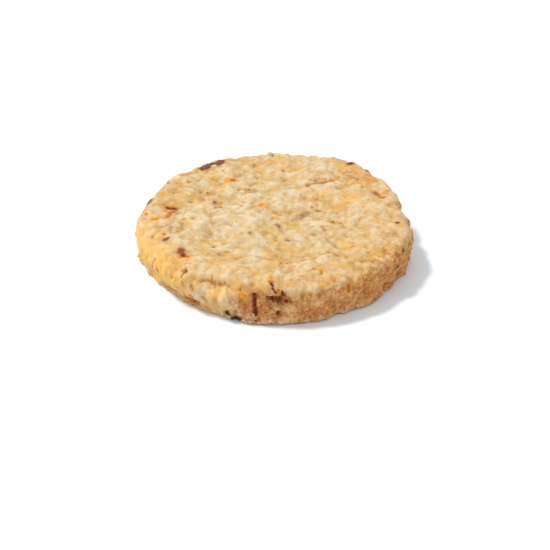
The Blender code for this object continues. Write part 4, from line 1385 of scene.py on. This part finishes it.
def browning(points, run):
    """How brown the dough is baked: the rim, the wall but for its pale sides, the underside. The pale
    left side is partly painted light and the browner front partly painted shade; the browned edge of
    the top at the right is painted shade.
    """
    bearing = bearing_of(points)
    pale = np.minimum(lobes(bearing, PALE_AND_LIT_SIDES) + PALE_LIP * foot_lip(points), 1.0)
    shifted = run + lobes(bearing, BAKE_SHIFT)
    rim = share_ramp(shifted, RIM_BAKE)
    wall = share_ramp(shifted, WALL_BAKE) * (1.0 - pale)
    # Painted shade: the edge of the top that slopes away from the light is browned.
    edge = lobes(bearing, PAINTED_SHADE_EDGES) * smooth_ramp(run, *PAINTED_SHADE_EDGE_RUN)
    under = share_ramp(run, UNDER_BAKE)
    cell, everywhere, on_wall = BAKE_DRIFT
    drift = TOP_RELIEF_NOISE.at(points, cell) * (everywhere + on_wall * wall)
    return np.clip(LEAST_BAKE + (rim + edge) * (1.0 - pale) + wall + under + drift, 0.0, 1.0)


def gilding(points, run):
    """How golden the dough is: little in the middle of the top, most near and over the rim."""
    out = smooth_ramp(np.hypot(points[:, 0], points[:, 1]), *GILT_REACH)
    bearing = bearing_of(points)
    sides = sum(lobes(bearing, [side]) * smooth_ramp(run, *span) for side, span in GILT_SIDES)
    rim = (lobes(bearing, [GILT_RIM]) * smooth_ramp(run, *GILT_RIM_RUN)
           * (1.0 - smooth_ramp(run, *GILT_RIM_END)))
    drift = WALL_RELIEF_NOISE.sum(points, GILT_DRIFT)
    return np.clip(GILT_LEAST + GILT_OUT * out + (sides + rim) + drift, 0.0, 1.0)


def relief_mask(points):
    """How high the lumps of the dough stand, 0 in the hollows and 1 on the crests."""
    swell = (TOP_RELIEF_NOISE.sum(points, TOP_NOISE[1:]) + FINE_NOISE.sum(points, TOP_FINE[:1])
             + flakes(points, TOP_FLAKES))
    return np.clip(0.5 + swell / RELIEF_SPAN, 0.0, 1.0)


def body_masks(points, run, detail):
    """Colour masks of the body's corners, 0 to 1."""
    pale, pale_share, _ = paint(points, TOP_PALE, WALL_PALE, [], [])
    # Browner patches, some of them painted shade, darken the toast mask.
    brown, brown_share, _ = paint(points, TOP_BROWN_AND_SHADE, WALL_BROWN_AND_SHADE, [], [])
    fruit, tone, halo = paint(points, TOP_CRANBERRIES, WALL_CRANBERRIES, TOP_STAINS, WALL_STAINS)
    peel, peel_tone, glow = paint(points, TOP_PEEL, WALL_PEEL, [], [])
    cracks = -crack_depth(points) - seam_depth(points)
    return {
        "detail": np.clip(0.5 + detail / DETAIL_SPAN, 0.0, 1.0),
        "relief": relief_mask(points),
        # Painted shade of the holes and of the cracks and seams.
        "hole_shade": share_ramp(-hole_depth(points), HOLE_SHADE_DARK),
        "crack": share_ramp(cracks, CRACK_SHADE_DARK),
        "toast": np.clip(browning(points, run) + brown * brown_share, 0.0, 1.0),
        "pale": pale * pale_share,
        "gild": gilding(points, run),
        "fruit": fruit,
        "fruit_tone": tone,
        "halo": halo,
        "peel": peel,
        "peel_tone": peel_tone,
        "glow": glow,
    }


def stretch_of(settings):
    """How far a user's diameter and thickness differ from the surface's own."""
    across = settings.diameter / (2.0 * RADIUS * MM)
    return across, across, settings.thickness / (THICKNESS * MM)


def make_body(settings):
    """The body: one closed surface with its masks, in place of the solid."""
    bearing, run, quads, fan = body_parameters()
    points, _, detail = surface(bearing, run)
    thing = new_mesh_object("biscuit_body", points, quads, fan, body_masks(points, run, detail),
                            stretch_of(settings))
    finish_piece(thing, crumb_material(settings), "baked_crumb", NODE)


def make_cranberries(settings):
    """The dried cranberry pieces of both tables, in one mesh."""
    tables = piece_tables(TOP_CRANBERRIES, WALL_CRANBERRIES, FRUIT_DEPTH)
    thing = wrapped_lumps("cranberry_pieces", tables, LUMP_GRID, FRUIT_FORM,
                          stretch_of(settings))
    finish_piece(thing, cranberry_material(settings), "dried_cranberry")


def make_peel(settings):
    """The orange peel pieces of both tables, in one mesh."""
    tables = piece_tables(TOP_PEEL, WALL_PEEL, PEEL_DEPTH)
    thing = wrapped_lumps("orange_peel_pieces", tables, LUMP_GRID, PEEL_FORM,
                          stretch_of(settings))
    finish_piece(thing, peel_material(settings), "orange_peel")


def make_oats(settings):
    """The oat flakes that lie clear of the fruit, in one mesh."""
    tables = oat_tables(settings.oats_on_top, settings.oats_on_wall)
    clear = clear_of_fruit(tables[0])
    thing = wrapped_lumps("oat_flakes", [table[clear] for table in tables], LUMP_GRID, OAT_FORM,
                          stretch_of(settings))
    finish_piece(thing, oat_material(settings), "oat_flake")


def make_crumbs(settings):
    """The loose crumbs that lie clear of the fruit and off the smooth side, in one mesh."""
    tables = crumb_tables(settings.crumbs_on_top, settings.crumbs_on_wall,
                          settings.crumbs_on_foot, settings.largest_crumb / MM)
    clear = clear_of_fruit(tables[0]) & off_the_flank(tables[0])
    thing = wrapped_lumps("loose_crumbs", [table[clear] for table in tables], CRUMB_GRID,
                          CRUMB_FORM, stretch_of(settings))
    finish_piece(thing, loose_crumb_material(settings), "baked_crumb")


# ====================================================================== stage
def make_stage(settings):
    """Pale floor, an even sky, one soft key light and the camera."""
    line = np.array([-1.0, 1.0]) * FLOOR_REACH / MM
    x, y = np.meshgrid(line, line)
    points = np.stack([x.ravel(), y.ravel(), np.zeros(4)], axis=1)
    quads = np.array([[0, 1, 3, 2]])
    floor = new_mesh_object("floor", points, quads, np.zeros((0, 3), int), {})
    material, _, shader, _ = new_material("pale floor")
    shader.inputs["Base Color"].default_value = (*settings.floor, 1.0)
    shader.inputs["Roughness"].default_value = FLOOR_ROUGHNESS
    shader.inputs["Specular IOR Level"].default_value = 0.0
    floor.data.materials.append(material)

    scene = bpy.context.scene
    scene.view_settings.view_transform = "Standard"
    scene.view_settings.look = "None"
    world = bpy.data.worlds.new("studio")
    world.use_nodes = True
    background = world.node_tree.nodes["Background"]
    background.inputs["Color"].default_value = (*SKY_COLOUR, 1.0)
    background.inputs["Strength"].default_value = SKY_LIGHT
    scene.world = world

    key = bpy.data.lights.new("key", "SUN")
    key.energy = KEY_POWER
    key.angle = math.radians(KEY_SOFTNESS)
    lamp = bpy.data.objects.new("key", key)
    lamp.rotation_euler = (0.0, math.radians(90.0 - KEY_RISE), math.radians(KEY_BEARING))
    scene.collection.objects.link(lamp)

    rise = math.radians(CAMERA_RISE)
    lens = bpy.data.cameras.new("camera")
    lens.lens = CAMERA_LENS
    lens.sensor_width = SENSOR
    camera = bpy.data.objects.new("camera", lens)
    aim = (AIM_RIGHT, -AIM_DROP * math.sin(rise), 0.5 * THICKNESS - AIM_DROP * math.cos(rise))
    camera.location = (aim[0] * MM, (aim[1] - CAMERA_AWAY * math.cos(rise)) * MM,
                       (aim[2] + CAMERA_AWAY * math.sin(rise)) * MM)
    camera.rotation_euler = (math.radians(90.0) - rise, 0.0, 0.0)
    scene.collection.objects.link(camera)
    scene.camera = camera


# ===================================================================== add-on
def linear(red, green, blue):
    """Screen colour, 0 to 255, as the linear values that shaders use."""
    share = np.array([red, green, blue]) / 255.0
    values = np.where(share <= 0.04045, share / 12.92, ((share + 0.055) / 1.055) ** 2.4)
    return tuple(float(value) for value in values)


def colour_property(name, description, default):
    """A colour setting, its default given as screen values from 0 to 255."""
    return bpy.props.FloatVectorProperty(name=name, description=description, subtype="COLOR",
                                         size=3, min=0.0, max=1.0, default=linear(*default))


def size_property(name, description, default):
    """A size setting in metres."""
    return bpy.props.FloatProperty(name=name, description=description, default=default,
                                   min=0.0, precision=5, subtype="DISTANCE", unit="LENGTH")


def count_property(name, description, default):
    """A setting that counts pieces."""
    return bpy.props.IntProperty(name=name, description=description, default=default, min=1)


class BiscuitSettings(bpy.types.PropertyGroup):
    """Sizes and colours of the biscuit that a user may change."""

    diameter: size_property("Diameter", "Mean width of the biscuit", 2.0 * RADIUS * MM)
    thickness: size_property("Thickness", "Height of the flat of the top", THICKNESS * MM)
    oats_on_top: count_property("Oats on top", "Scattered oat flakes on the top", 14)
    oats_on_wall: count_property("Oats on the wall", "Scattered oat flakes on the wall", 14)
    crumbs_on_top: count_property("Crumbs on top", "Loose crumbs on the top", 380)
    crumbs_on_wall: count_property("Crumbs on the wall", "Loose crumbs on the wall", 560)
    crumbs_on_foot: count_property("Crumbs by the foot", "Loose crumbs round the foot", 150)
    largest_crumb: size_property("Largest crumb", "Width of the largest loose crumb", 0.85 * MM)
    cream: colour_property("Cream", "Palest dough of the top", (214, 200, 172))
    # Butter also pales the left flank where the key light falls, partly painted light.
    butter: colour_property("Butter", "Palest dough of the golden sides", (243, 190, 98))
    dough: colour_property("Dough", "Main colour of the top", (203, 165, 103))
    gold: colour_property("Gold", "Golden patches near the rim", (218, 160, 72))
    honey: colour_property("Honey", "Yellow flakes of the top", (219, 177, 86))
    tan: colour_property("Tan", "Browner patches of the top", (180, 134, 68))
    toast_pale: colour_property("Pale toast", "Palest crumb of the browned wall", (226, 186, 136))
    toast_light: colour_property("Light toast", "Paler part of the browned wall", (210, 156, 95))
    toast: colour_property("Toast", "Browned wall and underside", (191, 126, 67))
    toast_red: colour_property("Red toast", "Redder patches of the browned wall", (202, 126, 74))
    # Pore colour: painted shade of the pores, and the colour of the bran specks.
    pore: colour_property("Pore", "Pores and specks", (166, 104, 32))
    # Crack and hole colours: painted shade of the cracks, seams and deep holes.
    crack: colour_property("Crack", "Cracks and seams", (192, 124, 36))
    hole_shade: colour_property("Cavity", "Deep holes of the wall", (96, 42, 14))
    stain: colour_property("Fruit stain", "Dough stained by cranberry", (180, 108, 60))
    # Blue-grey of the dark lumps on the foot and of some stains on the top.
    fruit_blue: colour_property("Cranberry blue", "Blue-grey flesh and stains", (54, 40, 44))
    fruit_dark: colour_property("Cranberry dark", "Dark flesh of the cranberry", (70, 22, 14))
    fruit_red: colour_property("Cranberry red", "Redder flesh of the cranberry", (164, 64, 22))
    # The grey of the cranberries is partly a painted sheen.
    fruit_bloom_and_sheen: colour_property("Cranberry bloom", "Greyish skin of the cranberry", (110, 73, 62))
    fruit_edge: colour_property("Cranberry edge", "Thin edge of the cranberry", (164, 86, 44))
    peel: colour_property("Peel", "Bright peel", (224, 148, 22))
    peel_brown: colour_property("Peel brown", "Baked peel", (182, 102, 26))
    peel_glow: colour_property("Peel glow", "Dough tinted by peel", (224, 160, 64))
    oat: colour_property("Oat", "Rolled oat flakes", (228, 202, 156))
    floor: colour_property("Floor", "Pale floor", (240, 245, 250))


class BISCUIT_OT_body(bpy.types.Operator):
    """Make the biscuit's body"""

    bl_idname = "biscuit.body"
    bl_label = "Body"
    bl_options = {"REGISTER", "UNDO"}

    def execute(self, context):
        make_body(context.scene.oat_biscuit)
        return {"FINISHED"}


class BISCUIT_OT_cranberries(bpy.types.Operator):
    """Make the dried cranberry pieces"""

    bl_idname = "biscuit.cranberries"
    bl_label = "Cranberry pieces"
    bl_options = {"REGISTER", "UNDO"}

    def execute(self, context):
        make_cranberries(context.scene.oat_biscuit)
        return {"FINISHED"}


class BISCUIT_OT_peel(bpy.types.Operator):
    """Make the orange peel pieces"""

    bl_idname = "biscuit.peel"
    bl_label = "Orange peel pieces"
    bl_options = {"REGISTER", "UNDO"}

    def execute(self, context):
        make_peel(context.scene.oat_biscuit)
        return {"FINISHED"}


class BISCUIT_OT_oats(bpy.types.Operator):
    """Make the oat flakes"""

    bl_idname = "biscuit.oats"
    bl_label = "Oat flakes"
    bl_options = {"REGISTER", "UNDO"}

    def execute(self, context):
        make_oats(context.scene.oat_biscuit)
        return {"FINISHED"}


class BISCUIT_OT_crumbs(bpy.types.Operator):
    """Make the loose crumbs"""

    bl_idname = "biscuit.crumbs"
    bl_label = "Loose crumbs"
    bl_options = {"REGISTER", "UNDO"}

    def execute(self, context):
        make_crumbs(context.scene.oat_biscuit)
        return {"FINISHED"}


class BISCUIT_OT_stage(bpy.types.Operator):
    """Make the floor, the lights and the camera"""

    bl_idname = "biscuit.stage"
    bl_label = "Stage"
    bl_options = {"REGISTER", "UNDO"}

    def execute(self, context):
        make_stage(context.scene.oat_biscuit)
        return {"FINISHED"}


OPERATORS = (BISCUIT_OT_body, BISCUIT_OT_cranberries, BISCUIT_OT_peel, BISCUIT_OT_oats,
             BISCUIT_OT_crumbs, BISCUIT_OT_stage)


class BISCUIT_PT_sidebar(bpy.types.Panel):
    """Lists the biscuit's makers, sizes and colours"""

    bl_label = "Oat Biscuit"
    bl_space_type = "VIEW_3D"
    bl_region_type = "UI"
    bl_category = "Biscuit"

    def draw(self, context):
        for operator in OPERATORS:
            self.layout.operator(operator.bl_idname)
        for label in BiscuitSettings.__annotations__:
            self.layout.prop(context.scene.oat_biscuit, label)


CLASSES = (BiscuitSettings, *OPERATORS, BISCUIT_PT_sidebar)


def register():
    """Register the classes and the scene's settings."""
    for kind in CLASSES:
        bpy.utils.register_class(kind)
    bpy.types.Scene.oat_biscuit = bpy.props.PointerProperty(type=BiscuitSettings)


def unregister():
    """Take the settings and the classes away again."""
    del bpy.types.Scene.oat_biscuit
    for kind in reversed(CLASSES):
        bpy.utils.unregister_class(kind)


def main():
    register()
    bpy.ops.biscuit.stage()
    bpy.ops.biscuit.body()
    bpy.ops.biscuit.cranberries()
    bpy.ops.biscuit.peel()
    bpy.ops.biscuit.oats()
    bpy.ops.biscuit.crumbs()


if __name__ == "__main__":
    main()
